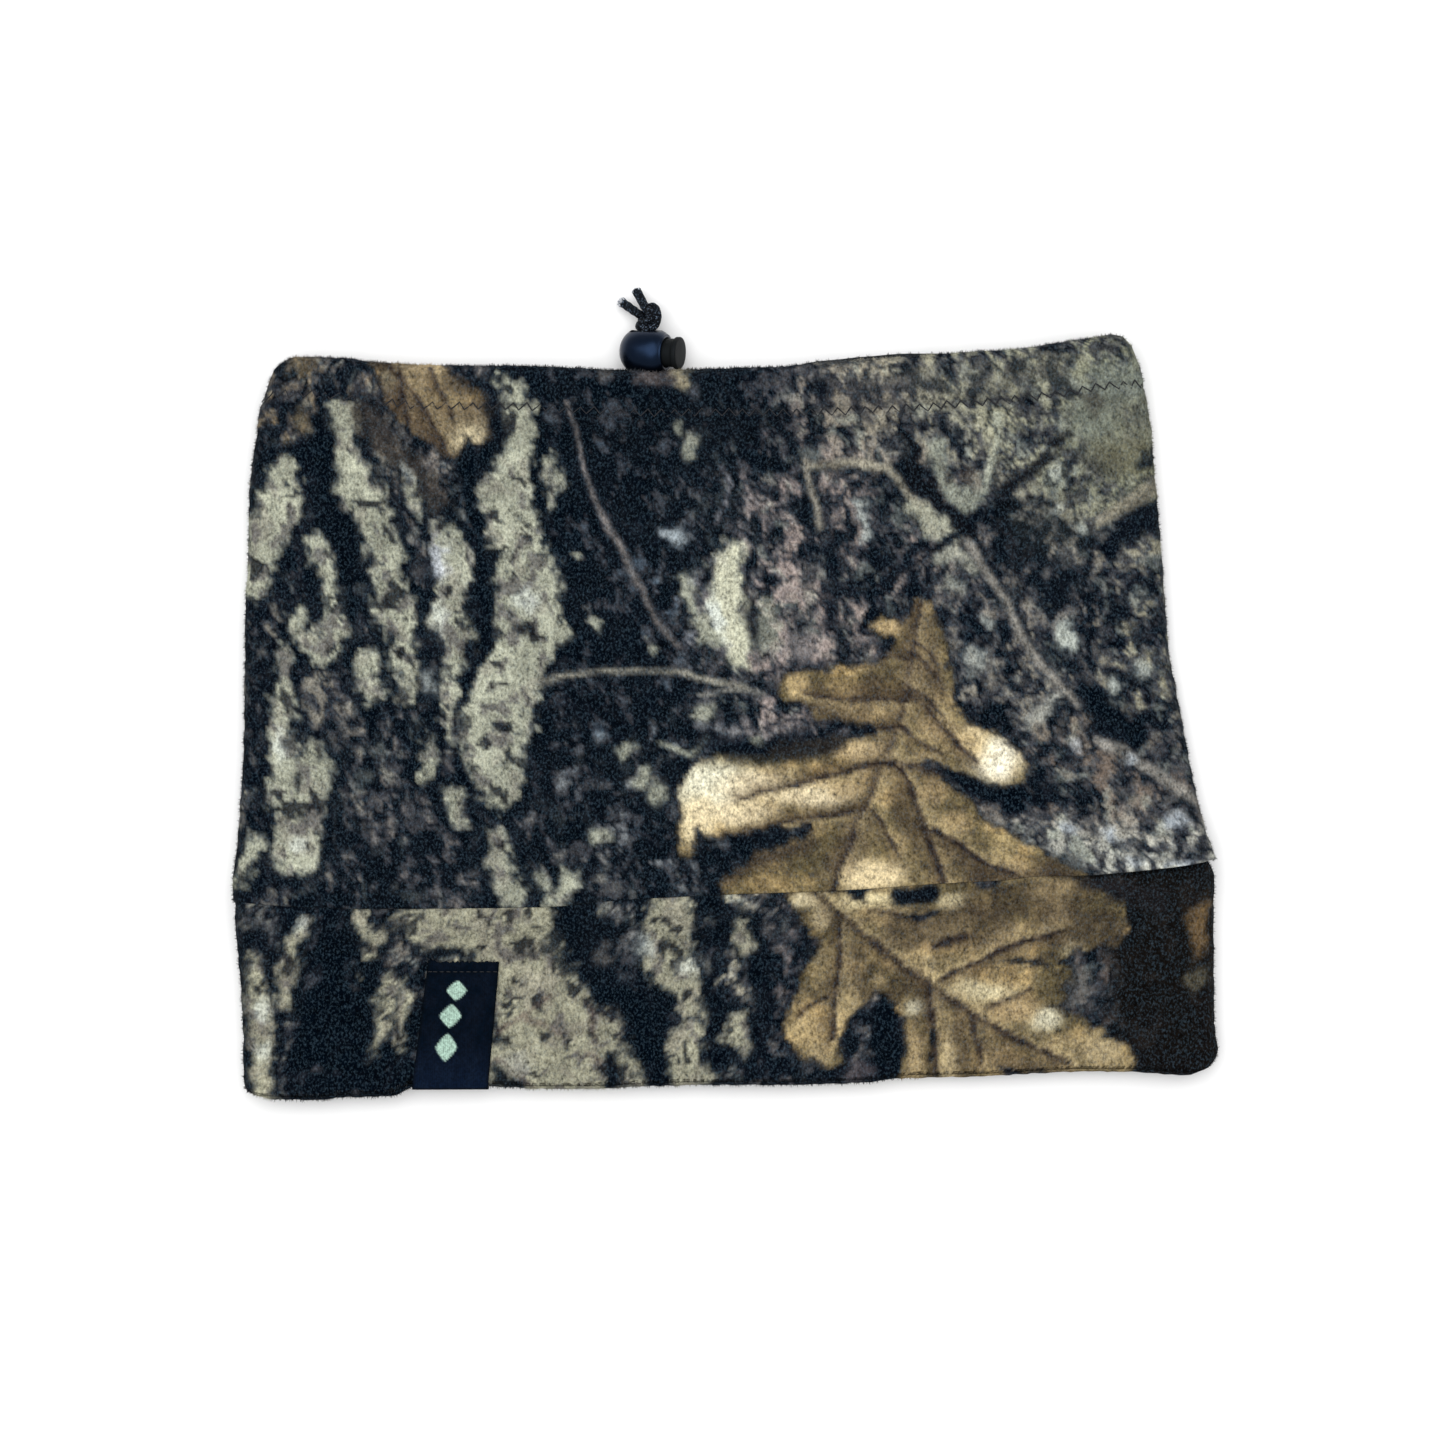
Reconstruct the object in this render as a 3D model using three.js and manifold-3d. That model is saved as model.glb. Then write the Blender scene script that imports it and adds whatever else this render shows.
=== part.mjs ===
// Fleece neck gaiter (camouflage face mask), lying flat.
// A tube of printed fleece with a turned-in drawcord casing at the top, a doubled hem
// band at the bottom, a folded woven label on the hem, an elastic drawcord and a
// spring-loaded cord lock.
//
// Millimetres, +Z up. X is the width, +Y runs from the hem to the drawcord edge, and
// Z is the height above the surface the garment lies on.  Each layer of the tube is a
// stadium in plan section: two flat runs joined by round side folds.

import * as THREE from 'three';
import { mergeVertices } from 'three/addons/utils/BufferGeometryUtils.js';
import Module from 'manifold-3d';

const wasm = await Module();
wasm.setup();

// ---------------------------------------------------------------- driving dimensions
const FLEECE = 2.0;            // thickness of one layer of fleece
const TUBE_H = 18.4;           // height of the flattened tube, outside to outside
const CHANNEL = 3.0;           // clear depth of the drawcord channel
const CASING_W = 13.2;         // top edge to the casing's stitch line
const CASING_TURN = 16.6;      // top edge to the raw edge of the turned-in casing
const LAP = 8.0;               // how far the body laps over the hem band
const PLY_GAP = 0.3;           // clearance between fabric plies
const THREAD = 0.4;            // thread diameter
const CORD_D = 2.5;            // elastic drawcord diameter
const EXIT_X = -22.1;          // centre back, where the cord leaves the casing

const LOCK = { x: -23.43, y: 206.35, z: 6.5, tilt: 20, turn: -5 };
const LOCK_HOLE = 2.8;         // half width of the cord hole along the plunger
const STRAND_Q = 1.35;         // strands' place along the plunger axis
const STRAND_Z = 1.35;         // strands' distance from the lock's mid plane
const KNOT = { x: -20.9, y: 215.25, z: 3.7, rx: 3.3, ry: 3.3, rz: 3.2 };

const LABEL_W = 19.6;          // woven label, width
const LABEL_T = 0.6;           // woven label, thickness
const LABEL_SLANT = 6.6;       // degrees off square

// Outline tables: [fraction up or across, position]
const BODY_L = [[0, -134.7], [0.03, -134.7], [0.0875, -133.93], [0.162, -133.1], [0.2737, -132.0], [0.4227, -131.59], [0.5345, -131.5], [0.6462, -130.62], [0.7579, -130.35], [0.8324, -129.25], [0.8696, -128.15], [0.9069, -127.33], [0.9441, -125.4], [0.9814, -123.2], [1.0, -121.55]];
const BODY_R = [[0, 133.93], [0.0135, 133.6], [0.052, 131.73], [0.0906, 130.35], [0.1291, 128.98], [0.2062, 126.78], [0.3218, 123.75], [0.3988, 121.7], [0.5145, 120.45], [0.6301, 119.08], [0.7457, 117.7], [0.8227, 116.88], [0.8613, 116.05], [0.8998, 114.95], [0.9383, 113.58], [0.9769, 111.93], [1.0, 110.55]];
const BAND_L = [[0, -129.53], [0.0311, -131.31], [0.0933, -132.0], [0.2487, -132.0], [0.5078, -132.55], [0.7668, -133.65], [0.8705, -134.1], [1.0, -134.2]];
const BAND_R = [[0, 131.73], [0.0381, 134.2], [0.0952, 135.03], [0.1905, 134.2], [0.4762, 133.93], [0.8571, 133.93], [1.0, 133.65]];
const TOP_FRONT = [[0, 202.95], [0.0332, 203.09], [0.0628, 202.95], [0.122, 201.85], [0.1813, 201.3], [0.2701, 201.16], [0.3294, 200.75], [0.3886, 200.1], [0.4479, 199.95], [0.5071, 200.4], [0.596, 200.75], [0.6256, 201.3], [0.6552, 201.99], [0.6848, 202.4], [0.7441, 203.23], [0.8033, 204.33], [0.8626, 205.29], [0.9218, 207.08], [0.981, 209.3], [1.0, 209.0]];
const TOP_BACK = [[0, 202.95], [0.0332, 202.68], [0.122, 201.58], [0.2701, 200.75], [0.3756, 199.85], [0.423, 199.75], [0.4479, 199.75], [0.5071, 200.06], [0.596, 201.03], [0.6256, 202.4], [0.6552, 203.09], [0.6848, 203.78], [0.7441, 204.74], [0.8033, 204.88], [0.8626, 205.29], [0.9218, 206.8], [0.981, 209.2], [1.0, 209.0]];
const SEAM = [[0, 54.6], [0.0666, 53.08], [0.1414, 52.53], [0.3238, 53.08], [0.374, 54.45], [0.4877, 56.24], [0.6199, 57.56], [0.7182, 59.4], [0.7787, 60.23], [0.8227, 61.46], [0.8596, 61.6], [0.9016, 62.43], [0.9672, 64.35], [1.0, 66.0]];
const HEM = [[0, 0.55], [0.0681, 0], [0.0939, 0.83], [0.1455, 1.1], [0.16, 2.8], [0.17, 3.9], [0.27, 3.9], [0.29, 3.0], [0.3519, 3.03], [0.4035, 3.58], [0.4809, 4.12], [0.5583, 4.12], [0.6357, 4.68], [0.6873, 5.91], [0.7647, 6.33], [0.8163, 7.15], [0.8679, 7.7], [0.9195, 7.7], [0.9711, 6.88], [1.0, 7.7]];

function table(rows, t) {
  if (t <= rows[0][0]) return rows[0][1];
  for (let i = 1; i < rows.length; i++) {
    if (t <= rows[i][0]) {
      const [a, p] = rows[i - 1];
      const [b, q] = rows[i];
      return p + ((q - p) * (t - a)) / (b - a);
    }
  }
  return rows[rows.length - 1][1];
}

// ---------------------------------------------------------------- the tube's surface
// u in [0, 4): 0-1 back run left to right, 1-2 right fold, 2-3 front run right to left,
// 3-4 left fold.  edges = [left, right] of the outline, d = depth under the outside.
function ringPoint(u, edges, d, yOf) {
  const [left, right] = edges;
  const h = TUBE_H / 2;
  const cx = (left + right) / 2;
  const a = (right - left) / 2 - h;
  const s = ((u % 4) + 4) % 4;
  let sx; let nx; let nz;
  if (s < 1) { sx = cx - a + 2 * a * s; nx = 0; nz = -1; }
  else if (s < 2) { const w = (s - 1.5) * Math.PI; sx = cx + a; nx = Math.cos(w); nz = Math.sin(w); }
  else if (s < 3) { sx = cx + a - 2 * a * (s - 2); nx = 0; nz = 1; }
  else { const w = (s - 3.5) * Math.PI; sx = cx - a; nx = -Math.cos(w); nz = -Math.sin(w); }
  const xo = sx + nx * h;
  const across = (xo - left) / (right - left);
  const front = (nz + 1) / 2;
  return new THREE.Vector3(sx + nx * (h - d), yOf(across, front), h + nz * (h - d));
}

const topEdge = (f, front) => table(TOP_FRONT, f) * front + table(TOP_BACK, f) * (1 - front);
const MEAN_BODY = 146;

// A body row: {a, b} sits at the fraction a from the seam to the top edge, plus b mm.
function bodyPoint(u, a, b, d) {
  const v = Math.min(1, Math.max(0, a + b / MEAN_BODY));
  const edges = [table(BODY_L, v), table(BODY_R, v)];
  return ringPoint(u, edges, d, (f, front) => {
    const lo = table(SEAM, f);
    return lo + (topEdge(f, front) - lo) * a + b;
  });
}

// A band row: the fraction a from the hem to the seam line, plus b mm.  Above the seam
// line the band runs up inside the body, so it follows the body's outline.
function bandPoint(u, a, b, d) {
  let edges;
  if (a === 1 && b > -1) edges = [table(BODY_L, Math.max(0, b / MEAN_BODY)), table(BODY_R, Math.max(0, b / MEAN_BODY))];
  else {
    const t = Math.min(1, Math.max(0, a + b / 54));
    edges = [table(BAND_L, t), table(BAND_R, t)];
  }
  return ringPoint(u, edges, d, (f) => {
    const lo = table(HEM, f);
    return lo + (table(SEAM, f) - lo) * a + b;
  });
}

const RUN = 13;                // divisions along each flat run
const FOLD = 6;                // divisions around each side fold
const RING = [];
for (let i = 0; i < RUN; i++) RING.push(i / RUN);
for (let i = 0; i < FOLD; i++) RING.push(1 + i / FOLD);
for (let i = 0; i < RUN; i++) RING.push(2 + i / RUN);
for (let i = 0; i < FOLD; i++) RING.push(3 + i / FOLD);

// ---------------------------------------------------------------- mesh helpers
function closed(geometry) {
  let g = geometry.clone();
  g.deleteAttribute('normal');
  g.deleteAttribute('uv');
  g = mergeVertices(g, 1e-4);
  const p = g.attributes.position;
  const index = Array.from(g.index.array);
  const keep = [];
  for (let i = 0; i < index.length; i += 3) {
    const [a, b, c] = [index[i], index[i + 1], index[i + 2]];
    if (a !== b && b !== c && a !== c) keep.push(a, b, c);
  }
  let volume = 0;
  const A = new THREE.Vector3(); const B = new THREE.Vector3(); const C = new THREE.Vector3();
  for (let i = 0; i < keep.length; i += 3) {
    A.fromBufferAttribute(p, keep[i]);
    B.fromBufferAttribute(p, keep[i + 1]);
    C.fromBufferAttribute(p, keep[i + 2]);
    volume += A.dot(B.cross(C));
  }
  if (volume < 0) {
    for (let i = 0; i < keep.length; i += 3) {
      const t = keep[i + 1]; keep[i + 1] = keep[i + 2]; keep[i + 2] = t;
    }
  }
  g.setIndex(keep);
  return g;
}

// Quads between rows of points; both directions can wrap around.
function grid(rows, wrapRows, wrapCols) {
  const n = rows.length;
  const m = rows[0].length;
  const pos = [];
  rows.forEach((row) => row.forEach((p) => pos.push(p.x, p.y, p.z)));
  const idx = [];
  for (let i = 0; i < (wrapRows ? n : n - 1); i++) {
    for (let j = 0; j < (wrapCols ? m : m - 1); j++) {
      const a = i * m + j;
      const b = ((i + 1) % n) * m + j;
      const c = ((i + 1) % n) * m + ((j + 1) % m);
      const d = i * m + ((j + 1) % m);
      idx.push(a, b, c, a, c, d);
    }
  }
  const g = new THREE.BufferGeometry();
  g.setAttribute('position', new THREE.Float32BufferAttribute(pos, 3));
  g.setIndex(idx);
  return g;
}

const sweepRing = (profile, pointAt) => closed(grid(
  profile.map(([a, b, d]) => RING.map((u) => pointAt(u, a, b, d))), true, true));

function solid(geometry) {
  const g = closed(geometry);
  return new wasm.Manifold(new wasm.Mesh({
    numProp: 3,
    vertProperties: new Float32Array(g.attributes.position.array),
    triVerts: new Uint32Array(g.index.array),
  }));
}

function fromSolid(m) {
  const mesh = m.getMesh();
  const g = new THREE.BufferGeometry();
  const pos = [];
  for (let i = 0; i < mesh.vertProperties.length; i += mesh.numProp) {
    pos.push(mesh.vertProperties[i], mesh.vertProperties[i + 1], mesh.vertProperties[i + 2]);
  }
  g.setAttribute('position', new THREE.Float32BufferAttribute(pos, 3));
  g.setIndex(Array.from(mesh.triVerts));
  return closed(g);
}

const roundShape = (r, sides) => {
  const s = new THREE.Shape();
  for (let i = 0; i < sides; i++) {
    const w = (2 * Math.PI * i) / sides;
    if (i === 0) s.moveTo(r, 0); else s.lineTo(r * Math.cos(w), r * Math.sin(w));
  }
  s.closePath();
  return s;
};

const tube = (points, diameter, steps, sides = 8) => closed(new THREE.ExtrudeGeometry(
  roundShape(diameter / 2, sides),
  { steps, bevelEnabled: false, extrudePath: new THREE.CatmullRomCurve3(points, false, 'centripetal') }));

// A cord through points that may be unevenly spaced, with flat ends.
function cordThrough(points, diameter, sides) {
  let n = new THREE.Vector3(0, 0, 1);
  const rows = points.map((p, i) => {
    const t = points[Math.min(i + 1, points.length - 1)].clone().sub(points[Math.max(i - 1, 0)]).normalize();
    n = n.clone().addScaledVector(t, -n.dot(t)).normalize();
    const b = t.clone().cross(n);
    const row = [];
    for (let k = 0; k < sides; k++) {
      const w = (2 * Math.PI * (k + 0.5)) / sides;
      row.push(p.clone().addScaledVector(n, (diameter / 2) * Math.cos(w)).addScaledVector(b, (diameter / 2) * Math.sin(w)));
    }
    return row;
  });
  const g = grid(rows, false, true);
  const pos = Array.from(g.attributes.position.array);
  const idx = Array.from(g.index.array);
  const last = (rows.length - 1) * sides;
  for (let k = 1; k < sides - 1; k++) {
    idx.push(0, k, k + 1);
    idx.push(last, last + k + 1, last + k);
  }
  const out = new THREE.BufferGeometry();
  out.setAttribute('position', new THREE.Float32BufferAttribute(pos, 3));
  out.setIndex(idx);
  return closed(out);
}

// A square-section thread that closes on itself; out[] is the surface's normal.
function threadRing(points, out, r) {
  const rows = points.map((p, i) => {
    const next = points[(i + 1) % points.length];
    const prev = points[(i + points.length - 1) % points.length];
    const t = next.clone().sub(prev).normalize();
    const n = out[i].clone().addScaledVector(t, -out[i].dot(t)).normalize();
    const b = t.clone().cross(n);
    return [[1, 0], [0, 1], [-1, 0], [0, -1]].map(([k, l]) => p.clone().addScaledVector(n, r * k).addScaledVector(b, r * l));
  });
  return closed(grid(rows, true, true));
}

const object = new THREE.Group();
function add(parent, name, geometry, material) {
  const mesh = new THREE.Mesh(geometry, material);
  mesh.name = name;
  parent.add(mesh);
  return mesh;
}

const fleeceMat = new THREE.MeshStandardMaterial({ color: 0x5d5b4e, roughness: 0.95, metalness: 0 });
const threadMat = new THREE.MeshStandardMaterial({ color: 0x14171c, roughness: 0.8, metalness: 0 });
const labelMat = new THREE.MeshStandardMaterial({ color: 0x10161f, roughness: 0.75, metalness: 0 });
const cordMat = new THREE.MeshStandardMaterial({ color: 0x121315, roughness: 0.7, metalness: 0 });
const plasticMat = new THREE.MeshStandardMaterial({ color: 0x15161a, roughness: 0.45, metalness: 0 });
const springMat = new THREE.MeshStandardMaterial({ color: 0xb4b7ba, roughness: 0.3, metalness: 1 });

// ---------------------------------------------------------------- body tube
// Profile of the fleece from the lap edge, up the outside, over the casing's fold, down
// the turned-in wall to its raw edge, and back down the inside.
const casingIn = 2 * FLEECE + CHANNEL;         // depth of the casing's inner face
const groove = 0.9;                            // the stitches pull the pile down this far
const turnD = FLEECE + PLY_GAP;
const bodyRows = [0.04, 0.1, 0.17, 0.26, 0.36, 0.47, 0.58, 0.69, 0.78];
const bodyProfile = [
  [0, 0, 0.5], [0, 0.5, 0],
  ...bodyRows.map((a) => [a, 0, 0]),
  [1, -CASING_W - 2.2, 0], [1, -CASING_W - 1.4, groove], [1, -CASING_W + 1.4, groove], [1, -CASING_W + 2.2, 0],
  [1, -6.5, 0], [1, -3.5, 0], [1, -1.03, 1.03], [1, 0, 3.5], [1, -1.03, casingIn - 1.03], [1, -3.5, casingIn],
  [1, -10.4, casingIn], [1, -CASING_W + 0.6, turnD + FLEECE], [1, -CASING_TURN, turnD + FLEECE],
  [1, -CASING_TURN, turnD], [1, -CASING_W + 0.2, turnD], [1, -10.8, casingIn - FLEECE],
  [1, -3.5, casingIn - FLEECE], [1, -2.0, 3.5], [1, -3.5, FLEECE],
  [1, -10.6, FLEECE], [1, -CASING_TURN, FLEECE],
  ...bodyRows.slice().reverse().map((a) => [a, 0, FLEECE]),
  [0, 0.5, FLEECE], [0, 0, FLEECE - 0.5],
];
const bodyShell = solid(sweepRing(bodyProfile, bodyPoint));

// The opening in the casing at centre back, where the drawcord comes out.
const exitTop = bodyPoint(0.42, 1, 0, 0).y;
const exitCut = new THREE.BoxGeometry(11.0, 11.0, 7.4);
exitCut.translate(EXIT_X + 0.6, exitTop - 4.5, 5.9);
add(object, 'body_tube', fromSolid(bodyShell.subtract(solid(exitCut))), fleeceMat);

// ---------------------------------------------------------------- hem band
const ply = FLEECE;
const bandIn = 2 * ply + PLY_GAP;
const under = FLEECE + PLY_GAP;                // depth of the band where it runs under the body
const r = bandIn / 2;
const rows3 = [0.75, 0.5, 0.25];
const bandProfile = [
  [1, LAP, under], [1, 5.1, under], [1, 4.9, under + 0.8], [1, 3.1, under + 0.8], [1, 2.9, under],
  [1, -0.5, under], [1, -2.6, 0],
  ...rows3.map((a) => [a, 0, 0]),
  [0, r, 0], [0, r * 0.293, r * 0.293], [0, 0, r], [0, r * 0.293, bandIn - r * 0.293], [0, r, bandIn],
  ...rows3.slice().reverse().map((a) => [a, 0, bandIn]),
  [1, -2.6, bandIn], [1, -0.5, under + bandIn], [1, LAP, under + bandIn],
  [1, LAP, under + ply + PLY_GAP], [1, -0.5, under + ply + PLY_GAP], [1, -2.6, ply + PLY_GAP],
  ...rows3.map((a) => [a, 0, ply + PLY_GAP]),
  [0, r, ply + PLY_GAP], [0, r - 0.12, r], [0, r, ply],
  ...rows3.slice().reverse().map((a) => [a, 0, ply]),
  [1, -2.6, ply], [1, -0.5, under + ply], [1, LAP, under + ply],
];
add(object, 'hem_band', sweepRing(bandProfile, bandPoint), fleeceMat);

// ---------------------------------------------------------------- threads
function ringThread(perRun, perFold, pointAt, r0) {
  const pts = []; const out = [];
  const us = [];
  for (let i = 0; i < perRun; i++) us.push(i / perRun);
  for (let i = 0; i < perFold; i++) us.push(1 + i / perFold);
  for (let i = 0; i < perRun; i++) us.push(2 + i / perRun);
  for (let i = 0; i < perFold; i++) us.push(3 + i / perFold);
  us.forEach((u, i) => {
    const p = pointAt(u, i, 0);
    const q = pointAt(u, i, -1);
    pts.push(p);
    out.push(q.sub(p).normalize());
  });
  return threadRing(pts, out, r0);
}
const zig = 0.7;
add(object, 'casing_stitch', ringThread(65, 6, (u, i, lift) => bodyPoint(u, 1, -CASING_W + (i % 2 ? zig : -zig), 0.35 + lift), THREAD / 2), threadMat);
add(object, 'band_join_stitch', ringThread(26, 6, (u, i, lift) => bandPoint(u, 1, 4.0, FLEECE + 0.55 + lift), THREAD / 2), threadMat);

function seamThread(name, from, to, pointAt) {
  const pts = [];
  for (let i = 0; i <= 8; i++) pts.push(pointAt(from + ((to - from) * i) / 8));
  add(object, name, tube(pts, THREAD, 8, 4), threadMat);
}
const seamZ = FLEECE + 0.5;
seamThread('back_seam_stitch', 72, exitTop - CASING_TURN - 3, (y) => new THREE.Vector3(EXIT_X, y, seamZ));
seamThread('band_seam_stitch', 9, 50, (y) => new THREE.Vector3(EXIT_X, y, bandIn + 0.5));

// ---------------------------------------------------------------- woven label
// A ribbon folded round the front layer's hem: outside half, turn, inside half.
const labelFold = 2.8;         // Y of the fold's outer face
const labelUp = 37.0;          // Y of the label's top
const hi = TUBE_H + PLY_GAP;   // inner face of the outside half
const lo = TUBE_H - bandIn - PLY_GAP;
const lab = new THREE.Shape();
const hemY = labelFold + LABEL_T;
lab.moveTo(labelUp, hi); lab.lineTo(labelUp, hi + LABEL_T);
lab.lineTo(labelFold + 0.5, hi + LABEL_T); lab.lineTo(labelFold, hi + LABEL_T - 0.5);
lab.lineTo(labelFold, lo - LABEL_T + 0.5); lab.lineTo(labelFold + 0.5, lo - LABEL_T);
lab.lineTo(labelUp - 2, lo - LABEL_T); lab.lineTo(labelUp - 2, lo);
lab.lineTo(hemY, lo); lab.lineTo(hemY, hi);
lab.closePath();
const labGeo = new THREE.ExtrudeGeometry(lab, { depth: LABEL_W, bevelEnabled: false });
// shape x -> Y, shape y -> Z, extrusion -> X, sheared by the slant
{
  const p = labGeo.attributes.position;
  const k = Math.tan((LABEL_SLANT * Math.PI) / 180);
  for (let i = 0; i < p.count; i++) {
    const y = p.getX(i); const z = p.getY(i); const w = p.getZ(i);
    p.setXYZ(i, -85.3 + w + (y - labelFold) * k, y, z);
  }
}
add(object, 'woven_label', closed(labGeo), labelMat);

const stitchY = labelUp - 2.0;
const stitchZ = hi + LABEL_T + 0.25 + THREAD / 2;
const k0 = Math.tan((LABEL_SLANT * Math.PI) / 180) * (stitchY - labelFold);
add(object, 'label_stitch', tube([
  new THREE.Vector3(-85.3 + k0 + 0.6, stitchY, stitchZ),
  new THREE.Vector3(-85.3 + k0 + LABEL_W / 2, stitchY + 0.2, stitchZ),
  new THREE.Vector3(-85.3 + k0 + LABEL_W - 0.6, stitchY, stitchZ)], THREAD, 6, 4), threadMat);

// ---------------------------------------------------------------- drawcord
// Once round the channel, both ends rising out of the opening at centre back.
const lockGroup = new THREE.Group();
lockGroup.position.set(LOCK.x, LOCK.y, LOCK.z);
lockGroup.rotation.set(0, (-LOCK.tilt * Math.PI) / 180, (LOCK.turn * Math.PI) / 180, 'ZYX');
lockGroup.updateMatrixWorld(true);
const inLock = (q, e, z) => new THREE.Vector3(q, e, z).applyMatrix4(lockGroup.matrixWorld);

const cordDepth = FLEECE + CHANNEL / 2;
const cordDrop = 6.6;
const lowIn = inLock(STRAND_Q, -6.9, -STRAND_Z);
const highIn = inLock(STRAND_Q, -6.9, STRAND_Z);
const uAt = (x) => {
  const p = bodyPoint(0, 1, -cordDrop, cordDepth).x;
  const q = bodyPoint(1, 1, -cordDrop, cordDepth).x;
  return (x - p) / (q - p);
};
const smooth = (points, n) => new THREE.CatmullRomCurve3(points, false, 'centripetal').getPoints(n);
const loop = smooth([lowIn, new THREE.Vector3(lowIn.x - 0.1, lowIn.y - 1.8, lowIn.z - 0.25),
  new THREE.Vector3(lowIn.x - 1.3, exitTop - 4.9, 4.2),
  new THREE.Vector3(lowIn.x - 4.0, exitTop - cordDrop - 0.1, 3.6),
  bodyPoint(uAt(EXIT_X - 8.0), 1, -cordDrop, cordDepth)], 12);
for (let i = 1; i <= 6; i++) loop.push(bodyPoint(uAt(EXIT_X - 8.0) * (1 - i / 6), 1, -cordDrop, cordDepth));
for (let i = 1; i < FOLD; i++) loop.push(bodyPoint(4 - i / FOLD, 1, -cordDrop, cordDepth));
for (let i = 0; i <= RUN; i++) loop.push(bodyPoint(3 - i / RUN, 1, -cordDrop, cordDepth));
for (let i = 1; i < FOLD; i++) loop.push(bodyPoint(2 - i / FOLD, 1, -cordDrop, cordDepth));
for (let i = 0; i < 8; i++) loop.push(bodyPoint(1 - (1 - uAt(EXIT_X + 9.0)) * (i / 8), 1, -cordDrop, cordDepth));
loop.push(...smooth([bodyPoint(uAt(EXIT_X + 9.0), 1, -cordDrop, cordDepth),
  new THREE.Vector3(highIn.x + 4.2, exitTop - cordDrop + 0.1, 4.3),
  new THREE.Vector3(highIn.x + 1.5, exitTop - 4.9, 5.9),
  new THREE.Vector3(highIn.x + 0.15, highIn.y - 1.7, highIn.z - 0.45), highIn], 12));
add(object, 'drawcord_loop', cordThrough(loop, CORD_D, 8), cordMat);

const strandPath = (z, bend) => [inLock(STRAND_Q, -6.5, z), inLock(STRAND_Q, -2, z), inLock(STRAND_Q, 3, z), inLock(STRAND_Q, 4.6, z), ...bend];
add(object, 'strand_lower', tube(strandPath(-STRAND_Z, [inLock(STRAND_Q + 0.05, 5.55, -STRAND_Z)]), CORD_D, 7, 8), cordMat);
add(object, 'strand_upper', tube(strandPath(STRAND_Z, [inLock(STRAND_Q, 6.4, STRAND_Z), inLock(STRAND_Q + 0.1, 7.3, STRAND_Z - 0.75)]), CORD_D, 9, 8), cordMat);

const knotGeo = new THREE.SphereGeometry(1, 12, 8);
knotGeo.scale(KNOT.rx, KNOT.ry, KNOT.rz);
knotGeo.translate(KNOT.x, KNOT.y, KNOT.z);
add(object, 'cord_knot', closed(knotGeo), cordMat);
add(object, 'cord_tail_left', tube([
  new THREE.Vector3(-24.4, 216.2, 3.0), new THREE.Vector3(-26.3, 217.4, 2.2), new THREE.Vector3(-28.35, 218.75, 1.7)], CORD_D, 5, 8), cordMat);
add(object, 'cord_tail_right', tube([
  new THREE.Vector3(-21.9, 218.95, 3.6), new THREE.Vector3(-23.0, 220.6, 3.2), new THREE.Vector3(-24.3, 222.5, 2.9)], CORD_D, 5, 8), cordMat);

// ---------------------------------------------------------------- cord lock
// Local frame: X is the plunger axis, pointing at the button; Y is the cord hole's axis.
const lathe = (profile, segments) => {
  const g = new THREE.LatheGeometry(profile.map(([q, rr]) => new THREE.Vector2(rr, q)), segments);
  g.rotateZ(-Math.PI / 2);      // the lathe's axis Y becomes X
  return g;
};
const shell = [[-6, 0], [-5.9, 1.2], [-5.4, 2.8], [-4.5, 4.2], [-3, 5.4], [-1.2, 6], [0.4, 6.1], [2.2, 5.9], [3.8, 5.45], [5.2, 5.0], [5.4, 4.9],
  [5.4, 4.15], [-4.4, 4.15], [-5.0, 3.6], [-5.0, 0]];
const holeBody = new THREE.BoxGeometry(2 * LOCK_HOLE, 16, 5.8);
add(lockGroup, 'lock_body', fromSolid(solid(lathe(shell, 28)).subtract(solid(holeBody))), plasticMat);

const plunge = [[-1.1, 0], [-1.1, 3.6], [-0.9, 3.85], [8.9, 3.85], [8.9, 4.3], [9.15, 4.55], [11.7, 4.55], [12.1, 4.15], [12.2, 0]];
const holePlunger = new THREE.BoxGeometry(5.4, 16, 5.6);
holePlunger.translate(2.6, 0, 0);
const plungeSolid = solid(lathe(plunge, 24)).subtract(solid(holePlunger));
add(lockGroup, 'lock_plunger', fromSolid(plungeSolid), plasticMat);

class Coil extends THREE.Curve {
  getPoint(t, target = new THREE.Vector3()) {
    const w = t * 3.2 * 2 * Math.PI;
    return target.set(-4.45 + 2.8 * t, 2.3 * Math.cos(w), 2.3 * Math.sin(w));
  }
}
add(lockGroup, 'lock_spring', closed(new THREE.ExtrudeGeometry(roundShape(0.22, 6), { steps: 44, bevelEnabled: false, extrudePath: new Coil() })), springMat);
object.add(lockGroup);

// ---------------------------------------------------------------- origin
// X and Y centred on the whole object's box, Z zero on the surface it lies on.
object.updateMatrixWorld(true);
const box = new THREE.Box3();
object.traverse((m) => {
  if (!m.isMesh) return;
  const p = m.geometry.attributes.position;
  const v = new THREE.Vector3();
  for (let i = 0; i < p.count; i++) box.expandByPoint(v.fromBufferAttribute(p, i).applyMatrix4(m.matrixWorld));
});
const centre = box.getCenter(new THREE.Vector3());
object.position.set(-centre.x, -centre.y, -box.min.z);
object.updateMatrixWorld(true);

export default object;
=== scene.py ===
import math
import bpy
import bmesh
import numpy as np
from mathutils import Matrix, Vector


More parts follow.
